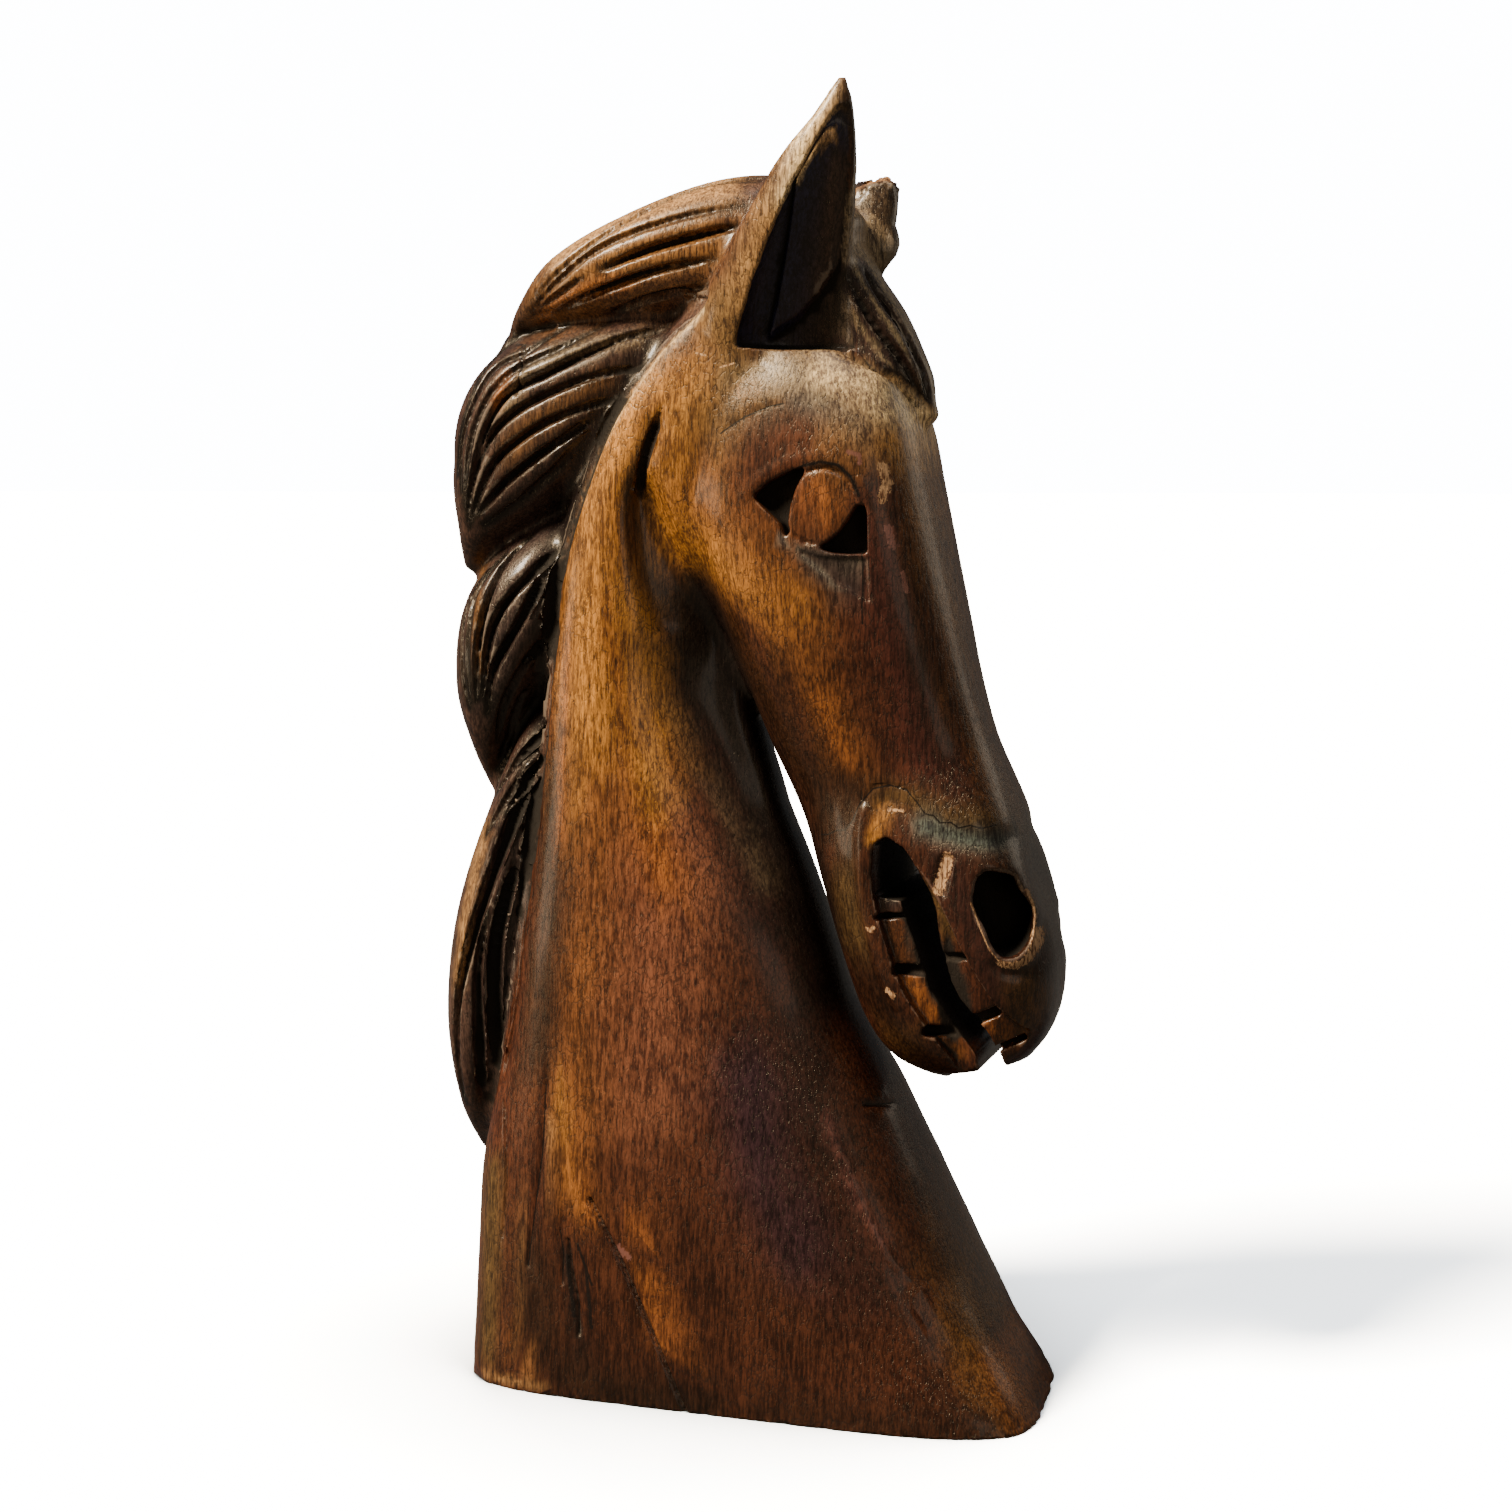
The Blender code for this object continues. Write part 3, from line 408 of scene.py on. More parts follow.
# %% Strands of the mane and forelock
# Share of the full width, share of the full depth, then x, z and distance from the middle of the block
STRANDS = (
    (0.62, 0.8, (-2, 467, 16), (-27, 465, 18), (-53, 452, 28), (-78, 433, 33), (-90, 422, 29)),
    (0.66, 0.85, (-5, 457, 26), (-32, 452, 30), (-59, 443, 33), (-80, 428, 33), (-91, 418, 27)),
    (0.95, 1.0, (-6, 449, 28), (-20, 446, 30), (-43, 440, 34), (-60, 433, 34)),
    (0.62, 0.8, (-66, 431, 34), (-77, 425, 32), (-88, 419, 28)),
    (0.90, 0.9, (-15, 437, 30), (-40, 432, 33), (-64, 424, 32), (-80, 418, 27)),
    (0.95, 1.0, (-18, 427, 26), (-41, 423, 27), (-58, 418, 24)),
    (0.62, 0.8, (-84, 415, 14), (-95, 411, 13), (-109, 401, 22), (-115, 386, 31), (-120, 368, 33),
     (-120, 357, 32)),
    (0.66, 0.85, (-78, 414, 21), (-91, 404, 30), (-105, 398, 30), (-113, 384, 34), (-118, 367, 34),
     (-118, 350, 34)),
    (0.65, 0.8, (-61, 414, 23), (-77, 405, 31), (-95, 397, 35), (-105, 387, 37), (-112, 370, 37),
     (-117, 344, 34)),
    (0.90, 1.0, (-37, 413, 22), (-55, 408, 29), (-80, 396, 37), (-96, 388, 38), (-106, 373, 39),
     (-116, 341, 34)),
    (0.75, 0.9, (-44, 398, 31), (-68, 392, 37), (-92, 381, 40), (-104, 370, 40), (-112, 354, 37),
     (-116, 338, 33)),
    (0.75, 0.9, (-53, 386, 34), (-76, 378, 39), (-92, 369, 40), (-104, 358, 39), (-115, 337, 32)),
    (0.85, 0.9, (-61, 378, 36), (-83, 364, 38), (-99, 352, 38), (-111, 341, 34)),
    (0.65, 0.8, (-66, 370, 35), (-79, 357, 35), (-93, 346, 34), (-109, 337, 33)),
    (0.62, 0.8, (-112, 322, 30), (-118, 304, 32), (-118, 286, 36), (-115, 266, 37)),
    (0.55, 0.7, (-104, 328, 30), (-112, 311, 33), (-114, 294, 38), (-114, 268, 37)),
    (0.90, 1.0, (-93, 334, 27), (-101, 322, 34), (-106, 308, 39), (-109, 292, 40), (-111, 269, 38)),
    (0.95, 1.0, (-78, 329, 34), (-91, 315, 40), (-99, 305, 41), (-104, 293, 41), (-108, 270, 38)),
    (0.90, 0.9, (-82, 319, 39), (-89, 304, 41), (-96, 292, 41), (-103, 280, 40), (-107, 264, 36)),
    (0.70, 0.8, (-80, 295, 37), (-93, 279, 36), (-101, 267, 33), (-106, 252, 28)),
    (0.70, 0.8, (-80, 283, 38), (-92, 268, 30), (-102, 256, 24), (-108, 241, 22)),
    (0.70, 0.85, (-79, 268, 40), (-91, 253, 34), (-101, 239, 33), (-106, 232, 31)),
    (0.70, 0.85, (-80, 256, 41), (-90, 240, 38), (-98, 226, 40)),
    (0.66, 0.85, (-93, 240, 37), (-101, 228, 38), (-108, 216, 37)),
    (1.30, 1.0, (-90, 237, 38), (-97, 219, 41), (-106, 194, 43), (-114, 170, 43), (-120, 145, 41),
     (-121, 106, 32)),
    (0.75, 0.8, (-105, 187, 43), (-109, 164, 44), (-110, 136, 42), (-112, 108, 35)),
    (0.95, 0.9, (-93, 206, 42), (-100, 182, 43), (-103, 155, 42), (-104, 125, 38)),
    (1.00, 0.9, (-84, 224, 41), (-90, 189, 41), (-93, 164, 43), (-96, 140, 43), (-99, 120, 43)),
    (0.95, 0.9, (38, 434, 11), (46, 421, 12), (54, 404, 8), (63, 384, 6)),
    (0.80, 0.8, (33, 431, 20), (45, 411, 18), (54, 396, 13), (62, 381, 6)),
    (0.80, 0.8, (32, 413, 21), (46, 397, 22), (55, 386, 10), (60, 381, 7)),
    (0.60, 0.6, (33, 404, 28), (44, 398, 25), (51, 391, 20)),
)
STRAND_CUT_DEPTH = 0.0060
STRAND_CUT_WIDTH = 0.0050
# Cuts along the back of the mane, as turns about a lock's own length from the middle of the back
BACK_TURNS = {"poll": (0.0, 0.42), "crown": (0.0, 0.30), "crest": (0.0, 0.30), "tail": (0.0, 0.30, 0.60)}
groove_points = []


def note_groove(places, wide):
    """Keep close samples of a groove: place, width (it tapers to both ends) and direction."""
    share = np.linspace(0, 1, 260)
    path = spline(places, share)
    run = np.gradient(path, axis=0)
    taper = np.clip(np.sin(math.pi * share), 0, 1) ** 0.4
    groove_points.extend(zip(path, wide * taper, run / np.linalg.norm(run, axis=1)[:, None]))


def strand_cuts(hand):
    cuts = []
    for wide, deep, *line in STRANDS:
        found = [surface.nearest(Vector((x, hand * y, z)) * SQUARE)
                 for x, z, y in spline(line, np.linspace(0, 1, 5 * len(line)))]
        places = [place for place, _, _ in found]
        note_groove(places, wide)
        open_share = np.clip((wide - 0.35) / 0.4, 0.5, 1)
        cuts.append(blade("strand cut", places, [direction for _, direction, _ in found],
                          wide * STRAND_CUT_WIDTH, deep * open_share * STRAND_CUT_DEPTH, 0.15, 24, 0.4))
    return cuts


def back_cuts(hand):
    cuts = []
    for name, turns in BACK_TURNS.items():
        for turn in turns[1 if hand > 0 else 0:]:
            found = []
            for point in lock_place(LOCK_ROWS[name])(np.linspace(0.06, 0.93, 40), np.full(40, turn)):
                found.append(surface.nearest(Vector((point[0], hand * point[1], point[2]))))
            found = [(place, direction) for place, direction, gap in found if gap < 0.0040]
            if len(found) > 8:
                places = [place for place, _ in found]
                note_groove(places, 0.7)
                cuts.append(blade("back cut", places, [direction for _, direction in found],
                                  0.7 * STRAND_CUT_WIDTH, 0.5 * STRAND_CUT_DEPTH, 0.0, 28, 0.4))
    return cuts


cuts = []
for hand in (-1, 1):
    cuts += strand_cuts(hand) + back_cuts(hand)
print("gouge cuts in the hair", len(cuts))

# %% [markdown]
# Longer gouge lines part the mane from the smooth neck, the cheek from the neck, and the forelock from the
# forehead. They are laid out in the side view and dropped onto the surface by casting a ray for each point.

# %% Hairline, jaw, lids and muzzle lines
HAIRLINE = ((14, 473), (5, 457), (-5, 446), (-13, 428), (-18, 419), (-34, 405), (-48, 387), (-58, 370),
            (-67, 347), (-74, 324), (-78, 293), (-81, 270), (-83, 247), (-86, 219), (-90, 191), (-96, 151),
            (-103, 118), (-110, 86))
FOREHEAD_EDGE = ((30, 407), (37, 402), (46, 396), (55, 390), (62, 382))
JAW_BAND = ((-36, 374), (-40, 360), (-43, 345), (-42.5, 330), (-40, 315), (-36, 300))
JAW_CUT = ((-31, 385), (-35, 376), (-39, 365), (-42, 352), (-43, 340))
MUZZLE_STEP = ((27, 220.5), (34, 222.4), (40.5, 226.8), (43.8, 232.8), (48.6, 240), (55.1, 241.6),
               (61.6, 240), (66.2, 234.5), (71.8, 230), (77.2, 228.3), (83.3, 227.4), (89.2, 227.1),
               (94.3, 227.5))


def on_side(line, hand, steps):
    found = [surface.from_side(x, z, hand) for x, z in spline(line, np.linspace(0, 1, steps))]
    return [pair for pair in found if pair[0]]


def line_cut(line, hand, width, depth, lean, along=24):
    found = on_side(line, hand, 3 * len(line))
    return blade("line cut", [place for place, _ in found], [direction for _, direction in found],
                 width, depth, lean, along)


for hand in (-1, 1):
    cuts.append(line_cut(HAIRLINE[3:], hand, 0.0080, 0.0048, 0.2, 48))
    cuts.append(line_cut(JAW_CUT, hand, 0.0038, 0.0042, 0.2, 40))
    cuts.append(line_cut(FOREHEAD_EDGE, hand, 0.0055, 0.0045, 0.2))
    cuts.append(line_cut(MUZZLE_STEP, hand, 0.0026, 0.0011, 0.0, 32))
print("with the long lines", len(cuts))

# %% [markdown]
# ## Eyes, nostrils, mouth and ears
# The eye is an almond pocket round an eyeball that is left standing as high as the cheek. The mouth has a
# shallow recess where the teeth stand, gaps between the teeth, and a slit sawn right through. The nostril
# is a blind oval hole that runs back into the muzzle. All of these are closed cutters: an outline that is
# extruded inwards with bmesh.ops.extrude_face_region to a depth under the surface.

# %% Straight cutters
REAR_CORNER = ((3.5, 349), (10.8, 354.8), (20.5, 359.3), (26, 360.5), (24.3, 357), (21.3, 350.8),
               (19.4, 344.6), (18.6, 338.8), (19.5, 334.8), (17, 332.6), (15.2, 338), (8.9, 343.7))
FRONT_CORNER = ((44.2, 346.5), (48, 346), (48.4, 336), (48.6, 327.4), (41, 327.0), (34, 327.6), (28, 329.6),
                (32.5, 331.8), (37.2, 335.4), (41.2, 341.0))
EYEBALL_LINE = ((22.5, 352.5), (24.8, 357.0), (30.1, 358.8), (36.0, 358.2), (40.6, 354.4), (43.2, 348.6),
                (42.8, 344.6))
EYEBALL_UNDERLINE = ((18.9, 336.5), (22, 333.6), (27.9, 331.4), (33, 332.2))
LID_CORNER = ((20, 330.5), (30, 327.0), (48.5, 326.6), (49.3, 309), (44, 312.5), (36, 317.5), (28, 323))
EYE_CUT_DEPTH = 0.0068
# Distance from the middle of the block at which every straight cutter starts, outside the wood
OUTSIDE = 0.075


def closed_prism(name, outer_places, inner_places):
    prism = bmesh.new()
    bmesh.ops.create_circle(prism, cap_ends=True, segments=len(outer_places), radius=1)
    outer = list(prism.verts)
    grown = bmesh.ops.extrude_face_region(prism, geom=prism.faces[:])
    inner = [item for item in grown["geom"] if isinstance(item, bmesh.types.BMVert)]
    inner.sort(key=lambda vert: min(range(len(outer)), key=lambda k: (outer[k].co - vert.co).length))
    for vert, place in zip(outer + inner, list(outer_places) + list(inner_places)):
        vert.co = place
    bmesh.ops.triangulate(prism, faces=prism.faces[:])
    bmesh.ops.recalc_face_normals(prism, faces=prism.faces[:])
    mesh = bpy.data.meshes.new(name)
    prism.to_mesh(mesh)
    prism.free()
    return mesh


def side_prism(name, outline, hand, depth, draft=1.0, floor=None):
    outline = np.array(outline, float)
    middle = outline.mean(axis=0)
    outer = [(x * SQUARE, hand * OUTSIDE, z * SQUARE) for x, z in outline]
    inner = []
    for x, z in outline:
        place, _ = surface.from_side(x, z, hand)
        level = floor if floor is not None else (abs(place.y) - depth if place else 0.020)
        x, z = middle + (np.array((x, z)) - middle) * draft
        inner.append((x * SQUARE, hand * level, z * SQUARE))
    return closed_prism(name, outer, inner)


def boolean(obj, mesh, operation):
    tool = bpy.data.objects.new("cutter", mesh)
    workshop.objects.link(tool)
    cut = obj.modifiers.new(operation.lower(), "BOOLEAN")
    cut.operation = operation
    cut.solver = "EXACT"
    cut.use_self = True
    cut.object = tool
    bpy.context.view_layer.update()
    apply_modifiers(obj)
    bpy.data.objects.remove(tool)


for hand in (-1, 1):
    cuts.append(side_prism("rear corner", REAR_CORNER, hand, EYE_CUT_DEPTH, 0.92))
    cuts.append(side_prism("front corner", FRONT_CORNER, hand, EYE_CUT_DEPTH, 0.92))
    cuts.append(line_cut(EYEBALL_LINE, hand, 0.0030, 0.0026, 0.0, 24))
    cuts.append(line_cut(EYEBALL_UNDERLINE, hand, 0.0030, 0.0020, 0.0, 16))
    cuts.append(side_prism("lid corner", LID_CORNER, hand, 0.0011))

# %% Nostrils, lips, teeth and the slit
NOSTRIL = ((86.8, 203.5), (88.0, 209.8), (92.0, 212.9), (96.8, 212.2), (101.2, 210.2), (103.4, 205.2),
           (107.4, 197.3), (109.0, 190), (108.5, 182.9), (105.5, 178), (101, 176.5), (97.2, 178.1),
           (94.0, 182.4), (91.5, 189), (88.3, 194.5), (86.7, 199.4))
NOSTRIL_TURN = math.radians(22)
NOSTRIL_DEPTH = 0.017
LIPS = ((50, 220), (54.4, 222.4), (61.2, 218.9), (65.6, 213), (70.9, 205.7), (76.7, 195.6), (82.5, 183.7),
        (89.3, 170.9), (96.1, 160), (104.7, 151), (112, 145), (112, 110), (88, 110), (78.5, 137),
        (71.3, 147.9), (66.4, 155.2), (61.6, 162.5), (57.6, 171.8), (54.7, 181.2), (51.7, 190.5),
        (49.7, 199.9), (48.9, 209.4))
SLIT = ((49.5, 219.3), (54, 221.5), (60.1, 218.3), (66, 209.6), (70.4, 202.2), (72.9, 194.8), (73.9, 185.4),
        (75.9, 176), (77.9, 167.5), (81.8, 160.2), (87.6, 153.9), (92.4, 147.6), (96, 139), (97, 120),
        (90, 120), (86.8, 139.5), (79, 149.5), (75.1, 156.9), (70.2, 164.2), (67.7, 171.7), (64.7, 182),
        (61.3, 190.4), (59.3, 197.9), (49.6, 199), (48.6, 208.8))
TEETH_UNDERSIDE = ((73.5, 115), (73.5, 129.5), (87, 132.3), (89, 137), (94, 137), (94, 115))
LOST_CHIP = ((75.4, 217.7), (81.2, 216.3), (77.3, 199), (71.9, 205.5))
TOOTH_GAPS = ((49, 191.4, 63, 192.6, 0.6), (56, 171.8, 70, 171.5, 1.15), (67, 148.6, 80.5, 147.6, 1.1),
              (74, 177.0, 86, 178.1, 0.8), (84, 152.0, 97, 158.0, 1.1), (93, 141.4, 106, 147.2, 0.7))
MOUTH_RECESS = 0.0045
TOOTH_GAP_DEPTH = 0.0035
TOOTH_GAP_WIDTH = 0.0040


def nostril_cut(hand):
    rim = [surface.from_side(x, z, hand)[0] for x, z in closed_curve(NOSTRIL, 40)]
    inward = Vector((-math.sin(NOSTRIL_TURN), -hand * math.cos(NOSTRIL_TURN), 0))
    middle = sum(rim, Vector()) / len(rim)
    floor = []
    for place in rim:
        from_middle = place - middle
        level = from_middle - inward * from_middle.dot(inward)
        floor.append(middle + level * 0.85 + inward * NOSTRIL_DEPTH)
    return closed_prism("nostril", [place - inward * 0.030 for place in rim], floor)


def tooth_gap(ends, hand):
    x0, z0, x1, z1, wide = ends
    run = np.array((x1 - x0, z1 - z0), float)
    across = np.array((-run[1], run[0])) / np.linalg.norm(run) * wide * TOOTH_GAP_WIDTH / SQUARE / 2
    corners = [(x0 - across[0], z0 - across[1]), (x1 - across[0], z1 - across[1]),
               (x1 + across[0], z1 + across[1]), (x0 + across[0], z0 + across[1])]
    return side_prism("tooth gap", corners, hand, MOUTH_RECESS + TOOTH_GAP_DEPTH, 0.9)


for hand in (-1, 1):
    cuts.append(side_prism("lips", LIPS, hand, MOUTH_RECESS))
    cuts.append(nostril_cut(hand))
    cuts += [tooth_gap(ends, hand) for ends in TOOTH_GAPS]
cuts.append(side_prism("lost chip", LOST_CHIP, -1, 0.0012))
for outline in (SLIT, TEETH_UNDERSIDE):
    cuts.append(side_prism("mouth opening", outline, -1, 0, 1.0, -OUTSIDE))
print("with the mouth and nostrils", len(cuts))

# %% [markdown]
# The near ear keeps its whole height. The far ear lost its tip, and the break slants down to the outside.
# A tilted block stands for the lost piece. The ear hollows are the slimmer cones made by ear_place.

# %% Ear hollows and the lost tip, then one cut for all
BREAK_HEIGHT = 472.5


def lost_tip(hand, shift):
    block = bmesh.new()
    bmesh.ops.create_cube(block, size=1)
    tilt = Matrix.Rotation(math.radians(-8), 4, "Y") @ Matrix.Rotation(math.radians(hand * 16), 4, "X")
    bmesh.ops.transform(block, verts=block.verts, matrix=Matrix.Diagonal((0.08, 0.05, 0.06, 1)))
    bmesh.ops.transform(block, verts=block.verts, matrix=tilt)
    place = Vector(((30 + shift) * SQUARE, hand * 36 * SQUARE, BREAK_HEIGHT * SQUARE + 0.030))
    bmesh.ops.translate(block, verts=block.verts, vec=place)
    mesh = bpy.data.meshes.new("lost ear tip")
    block.to_mesh(mesh)
    block.free()
    return mesh


for hand, shift in EARS:
    cuts.append(placed_sphere("ear hollow", ear_place(EAR_HOLLOW_ROWS, hand, shift, 0.95), 24, 32))
cuts.append(lost_tip(1, FAR_EAR_SHIFT))
boolean(horse, joined(cuts, "all cuts"), "DIFFERENCE")
print("carved block", len(horse.data.vertices), "points")

# %% [markdown]
# ## Fine skin
# A second, finer voxel remesh gives even points everywhere, which the next steps can move one by one. One
# smoothing pass takes away the steps of the voxels and leaves the edges a little soft, as sanding does.

# %% Remesh finely
SKIN_VOXEL = 0.00082
blend(horse, SKIN_VOXEL, 1)
print("fine skin", len(horse.data.vertices), "points")

# %% [markdown]
# ## Fine carving
# The last strokes are small: rounded strands, a sunk root of the mane beside the smooth neck, lids, the
# ridge of the lips, the rim of the nostrils, drying cracks and chips. Each stroke follows a line in the side
# view and moves the points near it along their normals, as a sculpt brush does. A plus sign raises.

# %% A carving stroke
points = coordinates(horse.data)
normals = coordinates(horse.data, "normal")
squares = points[:, (0, 2)] / SQUARE
on_flank = smooth_step(0.10, 0.35, np.abs(points[:, 1]) / HALF_BLOCK)
RIGHT, LEFT, BOTH = -1, 1, 0


def within(line, reach):
    """The points within reach of the line's box, so that a stroke only works out what it needs."""
    line = np.asarray(line, float)
    low, high = line[:, :2].min(axis=0) - reach, line[:, :2].max(axis=0) + reach
    return np.nonzero(np.all((squares > low) & (squares < high), axis=1))[0]


def side_share(which, hand):
    flank = np.sign(points[which, 1])
    return on_flank[which] * (np.ones(len(which)) if hand == BOTH else (flank == hand))


def stroke(line, width, height, hand=BOTH, sharp=False):
    which = within(line, 3 * width)
    gap, _, _ = near_line(squares[which], line)
    share = np.clip(1 - gap / width, 0, 1) if sharp else np.exp(-((gap / width) ** 2))
    points[which] += normals[which] * (height * SQUARE * share * side_share(which, hand))[:, None]


# %% Round the strands and sink their roots
ROUNDING_DEPTH = 0.0005
CREASE_DEPTH = 0.0007
ROOT_DEPTH = 0.0030
groove_tree = KDTree(len(groove_points))
for number, (place, _, _) in enumerate(groove_points):
    groove_tree.insert(place, number)
groove_tree.balance()
hair_points = np.nonzero((squares[:, 0] < -30) | (squares[:, 1] > 380))[0]
groove_gap = np.full(len(points), 1.0)
groove_wide = np.zeros(len(points))
for number in hair_points:
    _, index, groove_gap[number] = groove_tree.find(points[number])
    groove_wide[number] = groove_points[index][1]
rounding = ROUNDING_DEPTH * np.exp(-((groove_gap / 0.0030) ** 2))
crease_reach = 0.0022 * np.maximum(groove_wide, 0.1)
crease = CREASE_DEPTH * groove_wide * np.clip(1 - groove_gap / crease_reach, 0, 1)
points -= normals * (rounding + crease)[:, None]

near_hairline = np.nonzero((squares[:, 1] > 80) & (squares[:, 1] < 425) & (squares[:, 0] < 0))[0]
gap, _, side = near_line(squares[near_hairline], HAIRLINE, 8)
mane_side = gap * side
root = smooth_step(-0.5, 2.0, mane_side) * (1 - smooth_step(3, 17, mane_side))
sunk_root = ROOT_DEPTH * root * side_share(near_hairline, BOTH)
points[near_hairline] -= normals[near_hairline] * sunk_root[:, None]
print("rounded near", int((groove_gap < 0.004).sum()), "points")

# %% Lids, lips, nostril rim and muzzle
UPPER_LID = ((2, 350), (10, 357), (21, 362), (31, 363.5), (40, 361), (46, 354))
LIP_RIDGE = ((46, 232), (44.6, 224), (45, 214), (45, 206), (46, 196), (49, 184), (53, 171), (59, 159))
RIM_WEAR = ((111, 188), (111.5, 181), (110, 175.5), (106, 173), (101, 172.8), (96.5, 175.5))
FLUTE = ((72, 223.5), (80, 222.5), (88, 221.5), (97, 221))
BROW_BAND = ((50, 234), (56, 236.5), (62, 234), (68, 228))
stroke(JAW_BAND, 4.2, -1.6)
stroke(UPPER_LID, 2.2, 0.4)
stroke(LIP_RIDGE, 2.6, 1.1)
stroke(FLUTE, 4.0, -1.3)
stroke(BROW_BAND, 4.2, -0.7)
stroke(NOSTRIL + NOSTRIL[:1], 2.6, 0.5)
stroke(RIM_WEAR, 3.0, -1.2)

# %% Raised strip inside each ear
HOLLOW_BACK = ((402, -8), (424, -1.4), (458, 11.5), (470, 15.5), (483, 23), (492, 32))
HOLLOW_FRONT = ((402, 36), (420, 41), (450, 42), (480, 41), (492, 38.5))
STRIP_RISE = 0.0036
STRIP_FOOT = ((-10, 404), (6, 408), (15, 414), (24, 424), (29, 431), (34, 439), (44, 448))


def across_hollow(places):
    back, front = (np.interp(places[:, 1], *np.array(edge, float).T) for edge in (HOLLOW_BACK, HOLLOW_FRONT))
    return (places[:, 0] - back) / np.maximum(front - back, 0.5)


def over_strip_foot(places):
    return places[:, 1] - np.interp(places[:, 0], *np.array(STRIP_FOOT, float).T)


which = np.nonzero((squares[:, 1] > 403) & (squares[:, 1] < 488) & (np.abs(points[:, 1]) > 0.011))[0]
share = across_hollow(squares[which])
which, share = which[(share > 0) & (share < 1.1)], share[(share > 0) & (share < 1.1)]
sunk = np.array([smooth_block.nearest(Vector(place))[2] for place in points[which]])
lift = (smooth_step(0.22, 0.29, share) * smooth_step(0.0015, 0.0045, sunk)
        * (1 - smooth_step(480, 488, squares[which, 1]))
        * smooth_step(-1, 2, over_strip_foot(squares[which])))
points[which, 1] += np.sign(points[which, 1]) * STRIP_RISE * lift
print("ear strip", int((lift > 0.5).sum()), "points")

# %% Scratches, cracks and gouge marks
FOREHEAD_SCRATCH = ((-9, 372), (1, 378), (10.7, 381.8), (15.6, 382.7))
FOOT_RIDGE = ((70, 51), (87.3, 31.4), (100.7, 11.7), (107.2, 0))
THROAT_EDGE = ((33, 111.5), (44, 90), (54.8, 68.9), (70, 51))
BASE_CRACK = ((-57.4, 79), (-42.7, 53), (-30.2, 27), (-17.9, 0))
THROAT_CRACK = ((44.4, 117.5), (51.3, 115), (55.2, 109.4))
MANE_CRACK = ((-93.4, 406.6), (-92, 396.7), (-92.7, 387))
FOOT_CRACK = ((-66.5, 62.5), (-64.5, 50), (-62.0, 38), (-61.5, 26))
SHORT_CRACK = ((-70, 66), (-68.5, 56), (-69, 45))
LONG_CRACK = ((-77, 122), (-78, 96), (-84, 50))
# Side, half width, height, line
CRACKS = (
    (RIGHT, 1.5, -2.2, BASE_CRACK), (RIGHT, 1.3, -1.6, FOOT_CRACK), (RIGHT, 1.2, -1.0, SHORT_CRACK),
    (RIGHT, 1.2, -1.0, ((-97, 112), (-94.5, 84), (-96, 60))), (RIGHT, 1.4, -0.8, LONG_CRACK),
    (RIGHT, 5.0, 1.0, FOOT_RIDGE), (RIGHT, 2.0, 0.5, THROAT_EDGE), (RIGHT, 0.9, -1.4, THROAT_CRACK),
    (RIGHT, 0.8, -0.9, MANE_CRACK), (LEFT, 0.9, -1.8, ((12, 120), (10, 60), (16, 6))),
    (LEFT, 1.2, -2.0, ((-60, 30), (-57, 14), (-58, 0))),
)
FORELOCK_PUSH = 2.2
which = np.nonzero((squares[:, 1] > 382) & (squares[:, 1] < 440) & (squares[:, 0] > 38))[0]
fuller = smooth_step(382, 396, squares[which, 1]) * (1 - smooth_step(424, 440, squares[which, 1]))
points[which, 0] += FORELOCK_PUSH * SQUARE * fuller * smooth_step(38, 50, squares[which, 0])
stroke(FOREHEAD_SCRATCH, 0.9, -0.25, RIGHT)
for hand, width, rise, line in CRACKS:
    stroke(line, width, rise, hand, True)


def ripple(which, scale, seed):
    """Smooth noise between -1 and 1 at some of the points."""
    offset = Vector((seed * 7.13, seed * 3.71, seed * 5.37))
    return np.array([noise.noise(Vector(place) * scale + offset) for place in points[which]])


# %% Break of the far ear and the worn foot
FAR_EAR_SIDE = 0.018
FRONT_EDGE_HEIGHTS = (430, 436, 441, 445, 449, 453, 463, 468, 475)
FRONT_EDGE_SHIFTS = (0, 3.5, 7.0, 6.6, 4.2, 1.4, 0, -1.2, -3.2)
broken = np.nonzero((points[:, 1] > FAR_EAR_SIDE) & (squares[:, 1] > BREAK_HEIGHT - 44))[0]
splinters = ripple(broken, 330, 1) * 0.0011 + ripple(broken, 900, 2) * 0.0005
points[broken] += normals[broken] * (splinters * smooth_step(BREAK_HEIGHT - 12, BREAK_HEIGHT - 4,
                                                             squares[broken, 1]))[:, None]
foot = np.nonzero(squares[:, 1] < 14)[0]
chips = np.clip(ripple(foot, 110, 3) - 0.05, 0, 1) * 0.0014 + np.clip(ripple(foot, 380, 4), 0, 1) * 0.0005
points[foot] -= normals[foot] * (chips * (1 - smooth_step(0, 9, squares[foot, 1])))[:, None]
corner = smooth_step(33, 46, squares[broken, 0]) * smooth_step(460, 473, squares[broken, 1])
peak = np.exp(-(((squares[broken, 0] - 33) / 7) ** 2))
front_edge = np.interp(squares[broken, 1], FRONT_EDGE_HEIGHTS, FRONT_EDGE_SHIFTS)
points[broken, 2] -= 0.0030 * corner
points[broken, 2] += 0.0022 * peak * smooth_step(462, 472, squares[broken, 1])
points[broken, 0] += front_edge * SQUARE * smooth_step(30, 41, squares[broken, 0])
set_coordinates(horse.data, points)
print("worn foot", len(foot), "broken ear", len(broken), "points")

# %% [markdown]
# ## How the surface bends
# Varnish wears off ridges, and hollows are darkened, partly by stain and partly by painted shade, so the
# material needs to know where the surface bulges. On the fine skin all points are evenly spaced, and a point
# that stands above the middle of its neighbours lies on a ridge. The number is averaged a few times, and read
# back after thinning out.

# %% Bulge of each point
def edge_pairs(mesh):
    pairs = np.empty(len(mesh.edges) * 2, np.int32)
    mesh.edges.foreach_get("vertices", pairs)
    return pairs.reshape(-1, 2)


